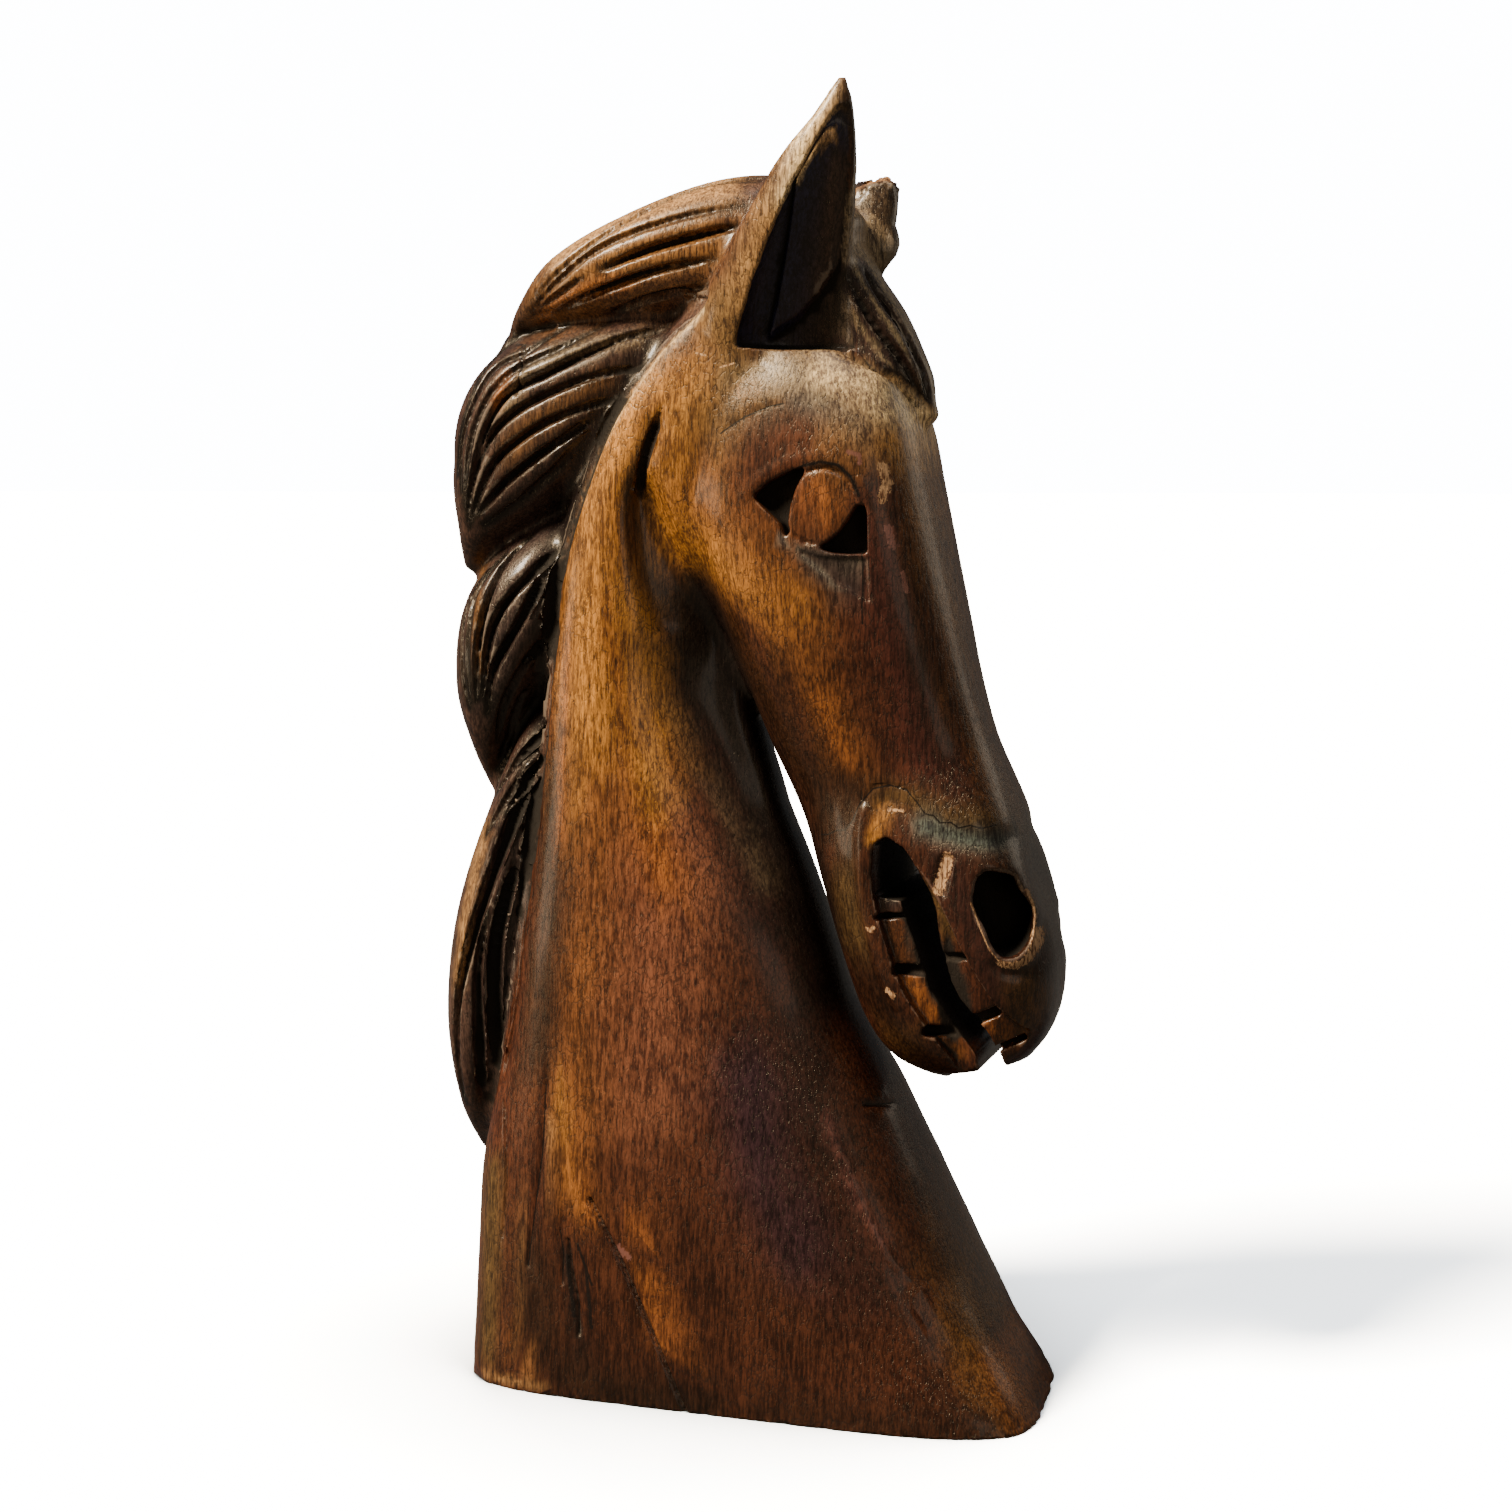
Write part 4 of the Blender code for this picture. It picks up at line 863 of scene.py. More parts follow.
def averaged(values, pairs, times):
    count = np.bincount(pairs.ravel(), minlength=len(values)).astype(float)
    for _ in range(times):
        total = np.bincount(pairs[:, 0], values[pairs[:, 1]], len(values))
        total += np.bincount(pairs[:, 1], values[pairs[:, 0]], len(values))
        values = (values + total / count) / 2
    return values


skin_points = coordinates(horse.data)
skin_normals = coordinates(horse.data, "normal")
pairs = edge_pairs(horse.data)
middle = np.column_stack([averaged(skin_points[:, axis], pairs, 4) for axis in range(3)])
skin_bulge = averaged(((skin_points - middle) * skin_normals).sum(axis=1), pairs, 3)
skin_bulge /= np.percentile(np.abs(skin_bulge), 98)
print("bulge", np.percentile(skin_bulge, (1, 10, 50, 90, 99)).round(2))

# %% [markdown]
# ## Thin out, saw the foot flat, keep within the block
# The finished skin needs few triangles on the smooth neck and many in the hair. Decimate keeps them where
# the surface bends. The foot is sawn off flat with bisect_plane, and its open rim gets one face.

# %% Thin out and saw the foot
MOST_TRIANGLES = 190000
thin_out(horse, MOST_TRIANGLES)


def saw_foot(obj):
    whole = bmesh.new()
    whole.from_mesh(obj.data)
    everything = whole.verts[:] + whole.edges[:] + whole.faces[:]
    cut = bmesh.ops.bisect_plane(whole, geom=everything, dist=1e-6, plane_co=(0, 0, 0), plane_no=(0, 0, 1),
                                 clear_inner=True)
    rim = [item for item in cut["geom_cut"] if isinstance(item, bmesh.types.BMEdge)]
    bmesh.ops.contextual_create(whole, geom=rim)
    bmesh.ops.triangulate(whole, faces=[face for face in whole.faces if len(face.verts) > 4])
    bmesh.ops.recalc_face_normals(whole, faces=whole.faces)
    whole.to_mesh(obj.data)
    whole.free()


saw_foot(horse)
points = np.clip(coordinates(horse.data), list(frame_low), list(frame_high))
set_coordinates(horse.data, points)
horse.data.shade_smooth()
print("finished skin", sum(len(face.vertices) - 2 for face in horse.data.polygons), "triangles")

# %% [markdown]
# ## What the stain, the painted shade and the wear need to know
# Stain gathers in the cuts and wears off the ridges, and the cuts and hollows are also darkened as painted
# shade.
# A few numbers for each point tell the material where: how dark a cut is, from its depth under the uncut
# block, how worn a ridge is, whether the point is hair, and how far off, on which side and how wide the
# nearest groove is. They are kept as attributes of the mesh, so the pattern stays with the surface.

# %% Regions of the finished skin
normals = coordinates(horse.data, "normal")
squares = points[:, (0, 2)] / SQUARE

skin_tree = KDTree(len(skin_points))
for number, place in enumerate(skin_points):
    skin_tree.insert(place, number)
skin_tree.balance()
bulge = skin_bulge[[skin_tree.find(place)[1] for place in points]]

depth = np.zeros(len(points))
for number, point in enumerate(points):
    place, direction, _ = smooth_block.nearest(Vector(point))
    depth[number] = (place - Vector(point)).dot(direction)

edge_z, edge_x = np.array([(z, x) for x, z in HAIRLINE[::-1]], float).T
behind = np.interp(squares[:, 1], edge_z, edge_x) - squares[:, 0]
mane = smooth_step(0.0, 1.5, behind) * smooth_step(84, 92, squares[:, 1])
over_forehead = squares[:, 1] - np.interp(squares[:, 0], *np.array(FOREHEAD_EDGE, float).T)
forelock = (smooth_step(0, 2, over_forehead) * (squares[:, 0] > 22) * (np.abs(points[:, 1]) < 0.030)
            * (squares[:, 1] > 376))
hair = np.clip(mane + forelock, 0, 1)


def inside(outline):
    """Share that lies inside an outline in the side view."""
    outline = np.asarray(outline, float)
    wound = np.zeros(len(points), bool)
    for (x0, z0), (x1, z1) in zip(outline, np.roll(outline, -1, axis=0)):
        crosses = (z0 > squares[:, 1]) != (z1 > squares[:, 1])
        with np.errstate(divide="ignore", invalid="ignore"):
            at = x0 + (squares[:, 1] - z0) / (z1 - z0) * (x1 - x0)
        wound ^= crosses & (squares[:, 0] < at)
    return wound.astype(float)


chip = inside(LOST_CHIP) * (points[:, 1] < 0)
ear_hollow = ((-8, 402), (36, 402), (41, 420), (42, 450), (41, 480), (38, 492), (32, 492), (23, 483),
              (15.5, 470), (11.5, 458), (-1.4, 424))
in_mouth = inside(closed_curve(LIPS, 60)) * (depth > 0.0030)
in_ear = inside(ear_hollow) * (depth > 0.0015) * (np.abs(points[:, 1]) > 0.011)
print("hair", int(hair.sum()), "mouth", int(in_mouth.sum()), "ear hollows", int(in_ear.sum()), "points")

# %% Dark cuts, partly stain and partly painted shade, and worn ridges
found = [groove_tree.find(place) for place in points]
groove_gap = np.array([gap for _, _, gap in found])
nearest = [groove_points[index] for _, index, _ in found]
groove_wide = np.array([wide for _, wide, _ in nearest])
groove_side = np.sign((np.cross([run for _, _, run in nearest], points - [place for place, _, _ in nearest])
                       * normals).sum(axis=1))
# Cuts and the mouth go dark with their depth: partly dark stain, partly painted shade.
dark = hair * smooth_step(0.0022, 0.0048, depth) + (1 - hair) * smooth_step(0.0020, 0.0042, depth)
dark = np.where(in_mouth > 0, 0.15 + 0.85 * smooth_step(0.0052, 0.0068, depth), dark)
on_strip = smooth_step(0.24, 0.30, across_hollow(squares)) * smooth_step(-1, 1.5, over_strip_foot(squares))
# The ear hollows, apart from the raised strip, get a flat painted shade.
dark = np.where(in_ear > 0, 0.42 - 0.34 * on_strip, dark)
dark = dark * (1 - chip)
# Concave places are darkened as well: painted shade.
hollow = np.clip(-bulge, 0, 1)
dark = np.clip(dark + 0.5 * smooth_step(0.25, 0.9, hollow), 0, 1)
worn = smooth_step(0.60 - 0.35 * hair, 1.2 - 0.3 * hair, bulge) * (1 - dark)
by_the_eye = (squares[:, 0] > 10) & (squares[:, 0] < 52) & (squares[:, 1] > 300) & (squares[:, 1] < 365)
worn = np.where(by_the_eye, 0.35 * worn, worn)


def store(name, values):
    attribute = horse.data.attributes.new(name, "FLOAT", "POINT")
    attribute.data.foreach_set("value", np.asarray(values, np.float32))


store("dark", dark)
store("worn", worn)
store("hair", hair)
store("groove_gap", np.where(hair > 0.5, np.clip(groove_gap, 0, 0.009) * 1000, 9))
store("groove_side", np.clip(groove_gap, 0, 0.009) * groove_side * 1000)
store("groove_wide", groove_wide)

# %% [markdown]
# ## The stained wood
# The wood is a brown hardwood under dark stain and varnish. Light has bleached it to gold in places, the cuts
# are nearly black, partly from stain and partly as painted shade, and handling has worn the ridges pale. Soft
# brush strokes in a few named colours are laid over the russet ground and kept as a colour attribute. Most
# give the wood's own tones, but some paint highlights, sheen, rim light and shade where the light falls on
# the carving.

# %% Strokes of colour
# Some colours stand only for light: the sheen, champagne, steel and teal colours paint highlights, sheen and
# a sky reflection, and the night colour paints shade with a blue sheen. Black, plum, umber and slate also
# paint shade in some strokes, and tan, bronze, olive and gold some highlights.
COLOURS = {
    "walnut": (0.082, 0.032, 0.012), "russet": (0.047, 0.0155, 0.0078), "amber": (0.112, 0.043, 0.0120),
    "gold": (0.310, 0.142, 0.028), "orange": (0.225, 0.080, 0.020), "bronze": (0.120, 0.058, 0.017),
    "plum": (0.024, 0.0090, 0.0075), "umber": (0.016, 0.0075, 0.0042), "olive": (0.066, 0.042, 0.015),
    "steel_sheen": (0.085, 0.082, 0.068), "slate": (0.026, 0.020, 0.019), "black": (0.0050, 0.0036, 0.0038),
    "painted_sheen": (0.170, 0.135, 0.078), "raw": (0.480, 0.270, 0.130), "night_shade_and_sheen": (0.0110, 0.0125, 0.0340),
    "tan": (0.260, 0.150, 0.060), "champagne_highlight": (0.620, 0.480, 0.260), "chestnut": (0.118, 0.046, 0.025),
    "rose": (0.110, 0.046, 0.040), "teal_sky_sheen": (0.105, 0.145, 0.130), "cocoa": (0.038, 0.0215, 0.0165),
    "wine": (0.046, 0.0130, 0.0105),
}
# Colour, half width, strength, then the stroke's path in squares
SMOOTH_STROKES = (
    ("gold", 13, 1.0, (-43, 392), (-50, 379), (-54, 360), (-58, 347), (-60, 324), (-60, 294),
     (-61, 264), (-62, 233)),
    ("amber", 5, 0.6, (-48, 347), (-50, 325), (-51, 302)),
    ("amber", 14, 0.9, (-56, 233), (-56, 202), (-59, 172), (-60, 141), (-58, 118)),
    ("chestnut", 16, 0.9, (-32, 237), (-23, 214), (-21, 188), (-27, 158), (-32, 127)),
    ("chestnut", 20, 0.7, (-36, 195), (-33, 173), (-32, 142), (-34, 112)),
    ("orange", 7, 0.95, (-49, 300), (-47, 285), (-43, 271), (-39, 248), (-36, 222), (-30, 203)),
    ("umber", 9, 0.85, (-75, 248), (-77, 209), (-78, 170), (-81, 131)),
    ("orange", 2, 0.6, (-71, 294), (-72, 248), (-73, 209)),
    ("gold", 6, 0.9, (-45, 318), (-42, 294), (-41, 271), (-39, 252), (-36, 232)),
    # Plum and black down the neck valley behind the jaw: painted shade, with a plum painted sheen of the
    # varnish.
    ("plum", 10, 0.9, (-38, 316), (-38, 300), (-32, 279), (-23, 259), (-12, 232), (-1, 202), (9, 172)),
    ("black", 11, 0.95, (-26, 294), (-18, 270), (-7, 247), (2, 224), (14, 194), (28, 159)),
    ("black", 9, 0.9, (-20, 309), (-11, 278), (0, 242), (22, 214), (34, 185)),
    # Black in the groove behind the jaw: painted shade.
    ("black", 3.0, 0.85, (-36, 378), (-41, 368), (-46, 354), (-46, 345), (-43, 330), (-40, 316),
     (-36, 306)),
    ("gold", 6, 0.85, (-44, 306), (-41, 285), (-39, 262), (-36, 240)),
    ("gold", 4, 0.7, (-42, 392), (-47, 381)),
    # A painted grey highlight along the slope of the neck valley.
    ("painted_sheen", 3, 0.25, (-34, 271), (-22, 244), (-8, 221), (4, 198)),
    # Plum and black on the chest, which faces away from the key light: painted shade, and a plum painted
    # sheen of the varnish.
    ("plum", 16, 0.85, (6, 143), (14, 114), (25, 92), (49, 52)),
    ("black", 9, 0.6, (19, 157), (27, 128), (37, 99)),
    ("russet", 18, 0.8, (-17, 86), (7, 61), (27, 36), (20, 13)),
    ("bronze", 8, 0.9, (58, 144), (89, 35), (106, 8)),
    ("orange", 5, 0.8, (96, 26), (106, 10), (111, 2)),
    ("rose", 2, 0.5, (33, 112), (42, 92), (55, 69)),
    ("amber", 8, 0.8, (-64, 113), (-63, 94), (-59, 75)),
    ("gold", 2.6, 0.7, (-70, 117), (-67, 98), (-64, 78)),
    ("orange", 5, 0.8, (-38, 71), (-32, 46), (-24, 28)),
    ("olive", 6, 0.9, (-102, 85), (-103, 49), (-103, 13)),
    ("orange", 2.6, 0.8, (-66, 93), (-57, 74)),
    ("tan", 2.2, 0.55, (-74.5, 109), (-72.8, 92), (-70.5, 80)),
    ("tan", 1.6, 0.45, (-86, 76), (-87.2, 45), (-88.8, 15), (-82, 6)),
    ("tan", 2.0, 0.6, (-104, 3), (-88, 3), (-76, 3)),
    ("orange", 3, 0.7, (-37, 54), (-32, 42), (-27, 27)),
    # A blue painted sheen of the varnish on the lower neck.
    ("night_shade_and_sheen", 13, 0.35, (0, 128), (10, 91), (26, 62)),
    ("umber", 8, 0.6, (18, 292), (27, 273), (36, 250)),
    ("umber", 13, 0.85, (-83, 49), (-76, 18), (-53, 5), (-12, 2)),
    ("black", 3, 0.8, (-68, 58), (-65, 43), (-61, 22)),
    ("orange", 3, 0.6, (-89, 20), (-83, 9)),
    ("umber", 8, 0.6, (12, 4), (59, 4), (99, 5)),
    ("gold", 12, 0.9, (-22, 390), (-25, 377), (-28, 366), (-29, 347), (-28, 332)),
    ("gold", 11, 0.9, (-22, 338), (-7, 325), (7, 314), (23, 307)),
    ("amber", 15, 0.7, (-22, 347), (0, 336), (15, 310), (30, 292)),
    # The olive, sheen, bronze, champagne, tan, steel and gold strokes over the top of the forehead paint its
    # highlight and grey sheen.
    ("olive", 13, 0.7, (-12, 377), (-2, 384), (6, 392)),
    ("painted_sheen", 6, 0.5, (-7, 392), (6, 395)),
    ("bronze", 7, 0.6, (0, 388), (14, 392)),
    ("painted_sheen", 7, 0.8, (12, 395), (26, 393)),
    ("champagne_highlight", 7, 0.8, (30, 393), (42, 389), (53, 382), (60, 372)),
    ("tan", 8, 0.9, (41, 377), (52, 373), (60, 364)),
    ("champagne_highlight", 6, 1.0, (50, 384), (58, 376), (62, 366)),
    ("steel_sheen", 6, 0.7, (22, 385), (41, 378), (49, 369)),
    ("gold", 6, 0.8, (56, 369), (63, 355), (66, 340)),
    ("bronze", 10, 0.6, (38, 358), (48, 364)),
    ("russet", 16, 0.8, (42, 311), (49, 281), (57, 255)),
    ("wine", 12, 0.85, (55, 345), (58, 311), (64, 274), (72, 250)),
    ("plum", 9, 0.85, (56, 350), (60, 320), (66, 290), (75, 259), (87, 233)),
    ("amber", 7, 0.6, (63, 347), (69, 325), (78, 288), (89, 250)),
    # Bronze along the front edge of the nose: painted rim light.
    ("bronze", 5, 0.8, (62, 358), (70, 324), (103, 213), (112, 185)),
    # Umber and black under the cheek, where the neck valley begins: painted shade.
    ("umber", 12, 0.9, (-21, 309), (-7, 290), (5, 270), (19, 247), (30, 227)),
    ("black", 6, 0.85, (-24, 315), (-18, 298), (-11, 274), (-1, 245)),
    ("amber", 7, 0.7, (22, 292), (35, 266), (44, 243)),
    ("orange", 4, 0.5, (30, 273), (39, 250)),
    ("umber", 9, 0.8, (40, 239), (40, 220), (40, 202), (43, 178), (53, 156), (64, 140)),
    ("olive", 6, 0.6, (38, 205), (42, 182)),
    ("olive", 5, 0.7, (52, 236), (59, 238), (75, 232), (91, 229)),
    # Teal in the flute under the muzzle step: painted reflection of the sky.
    ("teal_sky_sheen", 4, 0.8, (69, 227), (83, 223), (96, 221)),
    ("gold", 2.6, 0.9, (53, 232), (49, 221)),
    ("plum", 9, 0.9, (79, 211), (89, 189), (98, 167)),
    ("umber", 10, 0.8, (103, 214), (110, 189), (112, 169)),
    ("bronze", 5, 0.6, (105, 166), (110, 159), (100, 150)),
    # These three paint highlights: tan on the back of the ear, a thin champagne line beside the hairline, and
    # champagne along the ear's back rim.
    ("tan", 10, 1.0, (28, 484), (19, 463), (9, 442), (-1, 425), (-8, 414)),
    ("champagne_highlight", 1.1, 0.8, (-17, 418), (-33, 404), (-47, 386), (-57, 369), (-66, 347)),
    ("champagne_highlight", 4.6, 0.9, (32, 496), (25, 481), (21, 469), (17, 458)),
    ("olive", 7, 0.6, (-9, 421), (-7, 406), (-4, 395)),
)
HAIR_STROKES = (
    ("bronze", 13, 0.9, (-83, 423), (-59, 434), (-36, 441), (-17, 442)),
    # Tan along the top of the poll lock: painted highlight.
    ("tan", 8, 0.95, (-80, 442), (-17, 467)),
    ("orange", 3.5, 0.6, (-87, 419), (-68, 426), (-52, 429)),
    # Sheen along the crown's top edges: painted highlight.
    ("painted_sheen", 3.5, 0.6, (-46, 408), (-69, 405), (-88, 397), (-97, 383)),
    ("orange", 3, 0.8, (-98, 394), (-101, 384)),
    ("bronze", 6, 0.6, (-59, 392), (-78, 381), (-94, 366)),
    ("slate", 12, 0.7, (-81, 347), (-93, 324), (-99, 293), (-105, 270)),
    ("bronze", 2.6, 0.8, (-115, 323), (-110, 304), (-108, 281)),
    ("tan", 3, 0.8, (-108, 218), (-114, 191), (-118, 159)),
    ("slate", 9, 0.7, (-92, 208), (-98, 172), (-106, 131)),
    ("black", 12, 0.8, (41, 425), (50, 411), (59, 388)),
    ("black", 6, 0.95, (-40, 405), (-53, 386), (-64, 368), (-73, 346), (-80, 322), (-84, 293), (-87, 268),
     (-90, 244), (-93, 218)),
)
TEETH = (
    ("slate", 4.5, 1.0, (51, 206), (56, 197)),
    ("walnut", 4.5, 0.9, (56, 187), (62, 176)),
    ("orange", 5.0, 1.0, (63, 166), (73, 153)),
    ("amber", 4.0, 1.0, (76, 143), (85, 135)),
    ("olive", 5.0, 0.8, (72, 205), (78, 190)),
    ("russet", 4.5, 1.0, (82, 174), (89, 160)),
    ("orange", 4.0, 0.9, (93, 153), (99, 146)),
)
EYE_STROKES = (
    ("orange", 7, 0.75, (29, 348), (31, 342)),
    ("amber", 4, 0.5, (38, 345), (37, 339)),
    # The steel lines along the lid facet's edges are painted highlights, and the slate patch on the facet is
    # painted shade.
    ("steel_sheen", 1.5, 0.8, (15, 334), (19, 331), (27, 328), (38, 325.5), (47, 325)),
    ("slate", 6, 0.95, (28, 326), (36, 322), (43, 316)),
    ("steel_sheen", 1.2, 0.7, (24, 327), (34, 318), (43, 307)),
    ("black", 0.9, 0.9, (18, 356.5), (24.5, 359.3), (31, 361), (37.5, 359.8), (42, 355.5), (45, 349)),
)
# Black along the ears' front edges, which face away from the key light: painted shade.
EAR_EDGE = (("black", 3.5, 0.85, (43, 405), (44, 440), (42, 472), (39, 490)),)
BROKEN_EAR = (
    ("umber", 16, 0.9, (30, 470), (32, 440)),
    # Black on the front of the broken ear: painted shade.
    ("black", 5, 0.9, (46, 466), (47, 445)),
    ("raw", 2.2, 0.55, (22, 466), (28, 471), (40, 473)),
)
EAR_STROKES = (
    # Night over the ear hollow and black along its front wall: painted shade, with a blue painted sheen.
    ("night_shade_and_sheen", 30, 1.0, (0, 404), (36, 490)),
    ("umber", 7.0, 1.0, (24, 406), (30, 435), (37, 470)),
    ("cocoa", 4.0, 0.9, (22, 408), (29, 440), (36, 468)),
    ("black", 3.0, 0.8, (38, 404), (40, 430), (40.5, 460)),
)

mottle = np.array([noise.noise(Vector((x * 170, y * 170, z * 45))) for x, y, z in points])


def lay(tone, strokes, share):
    for name, width, strength, *path in strokes:
        gap, _, _ = near_line(squares, path)
        spread = gap / width * (1 + 0.5 * mottle)
        weight = (share * strength * np.exp(-(spread**2)))[:, None]
        tone = tone * (1 - weight) + np.array(COLOURS[name]) * weight
    return tone


tone = np.tile(COLOURS["russet"], (len(points), 1))
tone = lay(tone, SMOOTH_STROKES, 1 - hair)
tone = tone * (1 - hair[:, None]) + np.array(COLOURS["cocoa"]) * hair[:, None]
tone = lay(tone, HAIR_STROKES, hair)
# Hair strands are painted lighter away from their grooves and darker beside them, the forelock's ridges get a
# pale painted sheen, and the hair under the poll lock is darker: painted light and painted shade.
ridge = smooth_step(0.0010, 0.0032, groove_gap)
pale = (0.5 * hair * (squares[:, 0] > 22) * smooth_step(0.0034, 0.0046, groove_gap))[:, None]
tone = tone * (1 - pale) + np.array(COLOURS["painted_sheen"]) * pale
under_poll_shade = 1 - smooth_step(398, 420, squares[:, 1] + 0.35 * (squares[:, 0] + 60))
tone = tone * (1 + hair * (0.95 * ridge - 0.45 - 0.50 * under_poll_shade))[:, None]
tone = tone * (1 - in_mouth[:, None]) + np.array(COLOURS["russet"]) * in_mouth[:, None]
tone = lay(tone, TEETH, in_mouth)
tone = lay(tone, EAR_STROKES, in_ear)
tone = lay(tone, EYE_STROKES, 1 - dark)
tone = lay(tone, EAR_EDGE, (squares[:, 1] > 402) * (1 - hair))
tone = lay(tone, BROKEN_EAR, (points[:, 1] > FAR_EAR_SIDE).astype(float))
# The neck is darker towards its lower front and the face side of the head a little darker: painted shade.
lower = 1 - smooth_step(60, 260, squares[:, 1] - 1.2 * squares[:, 0])
face = (smooth_step(0, 30, squares[:, 0]) * (1 - smooth_step(320, 350, squares[:, 1]))
        * smooth_step(200, 250, squares[:, 1]))
tone *= (1 - 0.32 * lower - 0.14 * face)[:, None]
paint = horse.data.attributes.new("tone", "FLOAT_COLOR", "POINT")
paint.data.foreach_set("color", np.column_stack((tone, np.ones(len(points)))).astype(np.float32).ravel())
all_strokes = (SMOOTH_STROKES, HAIR_STROKES, TEETH, EAR_STROKES, EYE_STROKES, EAR_EDGE, BROKEN_EAR)
print("strokes", sum(len(strokes) for strokes in all_strokes))

# %% [markdown]
# ## Shader maths in plain Python
# A node tree is easier to read as a formula. Wire stands for the output of a node, and adding or
# multiplying wires adds Math nodes. Recipe adds any other node: it takes the node's type, its settings, and
# the values or wires for its sockets.

# %% A small language for materials
class Wire:
    def __init__(self, recipe, socket):
        self.recipe = recipe
        self.socket = socket

    def maths(self, operation, *others):
        values = dict(enumerate((self, *others)))
        return self.recipe.node("ShaderNodeMath", {"operation": operation}, values)

    def __add__(self, other):
        return self.maths("ADD", other)

    def __sub__(self, other):
        return self.maths("SUBTRACT", other)

    def __rsub__(self, other):
        return self.recipe.node("ShaderNodeMath", {"operation": "SUBTRACT"}, {0: other, 1: self})

    def __mul__(self, other):
        return self.maths("MULTIPLY", other)

    def __truediv__(self, other):
        return self.maths("DIVIDE", other)

    __radd__ = __add__

    def clamped(self):
        return self.recipe.node("ShaderNodeClamp", {}, {"Value": self})


class Recipe:
    def __init__(self, name):
        self.material = bpy.data.materials.new(name)
        self.material.use_nodes = True
        self.tree = self.material.node_tree
        self.shader = self.tree.nodes["Principled BSDF"]

    def put(self, node, values):
        for name, value in values.items():
            if isinstance(value, Wire):
                self.tree.links.new(value.socket, node.inputs[name])
            else:
                node.inputs[name].default_value = value

    def node(self, kind, settings, values, output=0):
        node = self.tree.nodes.new(kind)
        for name, value in settings.items():
            setattr(node, name, value)
        self.put(node, values)
        return Wire(self, node.outputs[output])

    def mix(self, share, first, second, blend="MIX"):
        settings = {"data_type": "RGBA", "blend_type": blend}
        return self.node("ShaderNodeMix", settings, {0: share, 6: first, 7: second}, 2)

    def attribute(self, name, output="Fac"):
        return self.node("ShaderNodeAttribute", {"attribute_name": name}, {}, output)

    def between(self, value, low, high):
        limits = {"Value": value, "From Min": low, "From Max": high}
        return self.node("ShaderNodeMapRange", {"interpolation_type": "SMOOTHSTEP"}, limits)

    def noise(self, place, scale, detail=3.0, rough=0.5):
        return self.node("ShaderNodeTexNoise", {}, {"Vector": place, "Scale": scale, "Detail": detail,
                                                    "Roughness": rough})

    def marks(self, place, lines):
        """How far a place lies from the nearest of some lines in the side view, as a share of its width."""
        nearest = None
        for width, *path in lines:
            for (x0, z0), (x1, z1) in zip(path[:-1], path[1:]):
                start, run = Vector((x0, 0, z0)) * SQUARE, Vector((x1 - x0, 0, z1 - z0)) * SQUARE
                away = self.vector("SUBTRACT", {0: place, 1: start})
                along = self.vector("DOT_PRODUCT", {0: away, 1: run / run.length_squared}, 1).clamped()
                foot = self.vector("SCALE", {0: tuple(run), "Scale": along})
                gap = self.vector("LENGTH", {0: self.vector("SUBTRACT", {0: away, 1: foot})}, 1)
                gap = gap / (width * SQUARE)
                nearest = gap if nearest is None else nearest.maths("MINIMUM", gap)
        return nearest

    def vector(self, operation, values, output=0):
        return self.node("ShaderNodeVectorMath", {"operation": operation}, values, output)

    def stretched(self, stretch):
        place = self.node("ShaderNodeTexCoord", {}, {}, "Object")
        return self.node("ShaderNodeMapping", {}, {"Vector": place, "Scale": stretch})


# %% Small marks: half width, then places in the side view
BARE_MARKS = (
    (2.3, (78.0, 215.5), (74.8, 203.5)),
    (1.5, (108.6, 187), (109.2, 182.5), (107, 177.5), (102.5, 175.4), (98, 176.6)),
    (0.5, (105, 203), (107.1, 197.3), (108.2, 190), (108.8, 186)),
    (0.28, (87.2, 199.4), (91, 189.5), (94, 182.5), (97.5, 177.4)),
    (1.3, (55, 163.8), (57, 162.2)),
    (0.9, (47.3, 187.6), (48.6, 186.8), (50, 188)),
    (0.6, (55, 232.5), (60.5, 232.3)),
    (1.7, (52.4, 360), (54.2, 354), (52.8, 348)),
    (0.4, (-10, 396.5), (-5, 398)), (0.4, (-3, 390), (-2, 385)), (0.4, (-20, 402), (-16, 401)),
)
ROSE_MARKS = (
    (1.6, (-45.2, 61.5), (-41.5, 58.5)),
    (1.5, (55, 337), (57, 331)), (0.9, (60, 321), (61.5, 314)), (0.8, (41, 365), (44.5, 364), (45, 361)),
)
DARK_MARKS = (
    (0.40, (-57.4, 79), (-49.5, 65), (-42.7, 53), (-35.5, 38), (-30.2, 27), (-24, 13), (-17.9, 0)),
    (0.45, *FOOT_CRACK), (0.35, *SHORT_CRACK), (0.30, *LONG_CRACK), (0.35, *THROAT_CRACK),
    (0.40, *FOREHEAD_SCRATCH),
    (0.60, (19, 357.4), (24.5, 360.0), (31, 361.4), (37.5, 360.2), (42, 356), (45, 349)),
    (0.35, (27, 221), (30, 221.5), (34, 223.4), (38, 224), (41, 228), (43.5, 234), (48.6, 240), (55.1, 241.6),
     (61.6, 240), (66.2, 235), (69, 231.5), (72.5, 231), (75, 228.5), (79, 228.8), (82, 226.8), (86, 227.8),
     (90, 226.6), (94.3, 227.5)),
    (1.0, (-66.7, 56), (-63.8, 33)), (0.8, (-58.8, 52), (-56.3, 29)), (0.6, (-62.3, 61), (-56.4, 46)),
    (0.35, (46.2, 333), (46.3, 315), (46.3, 302)),
    (0.35, *MANE_CRACK), (0.35, (-98, 403), (-93.4, 406.6), (-99, 407)),
)

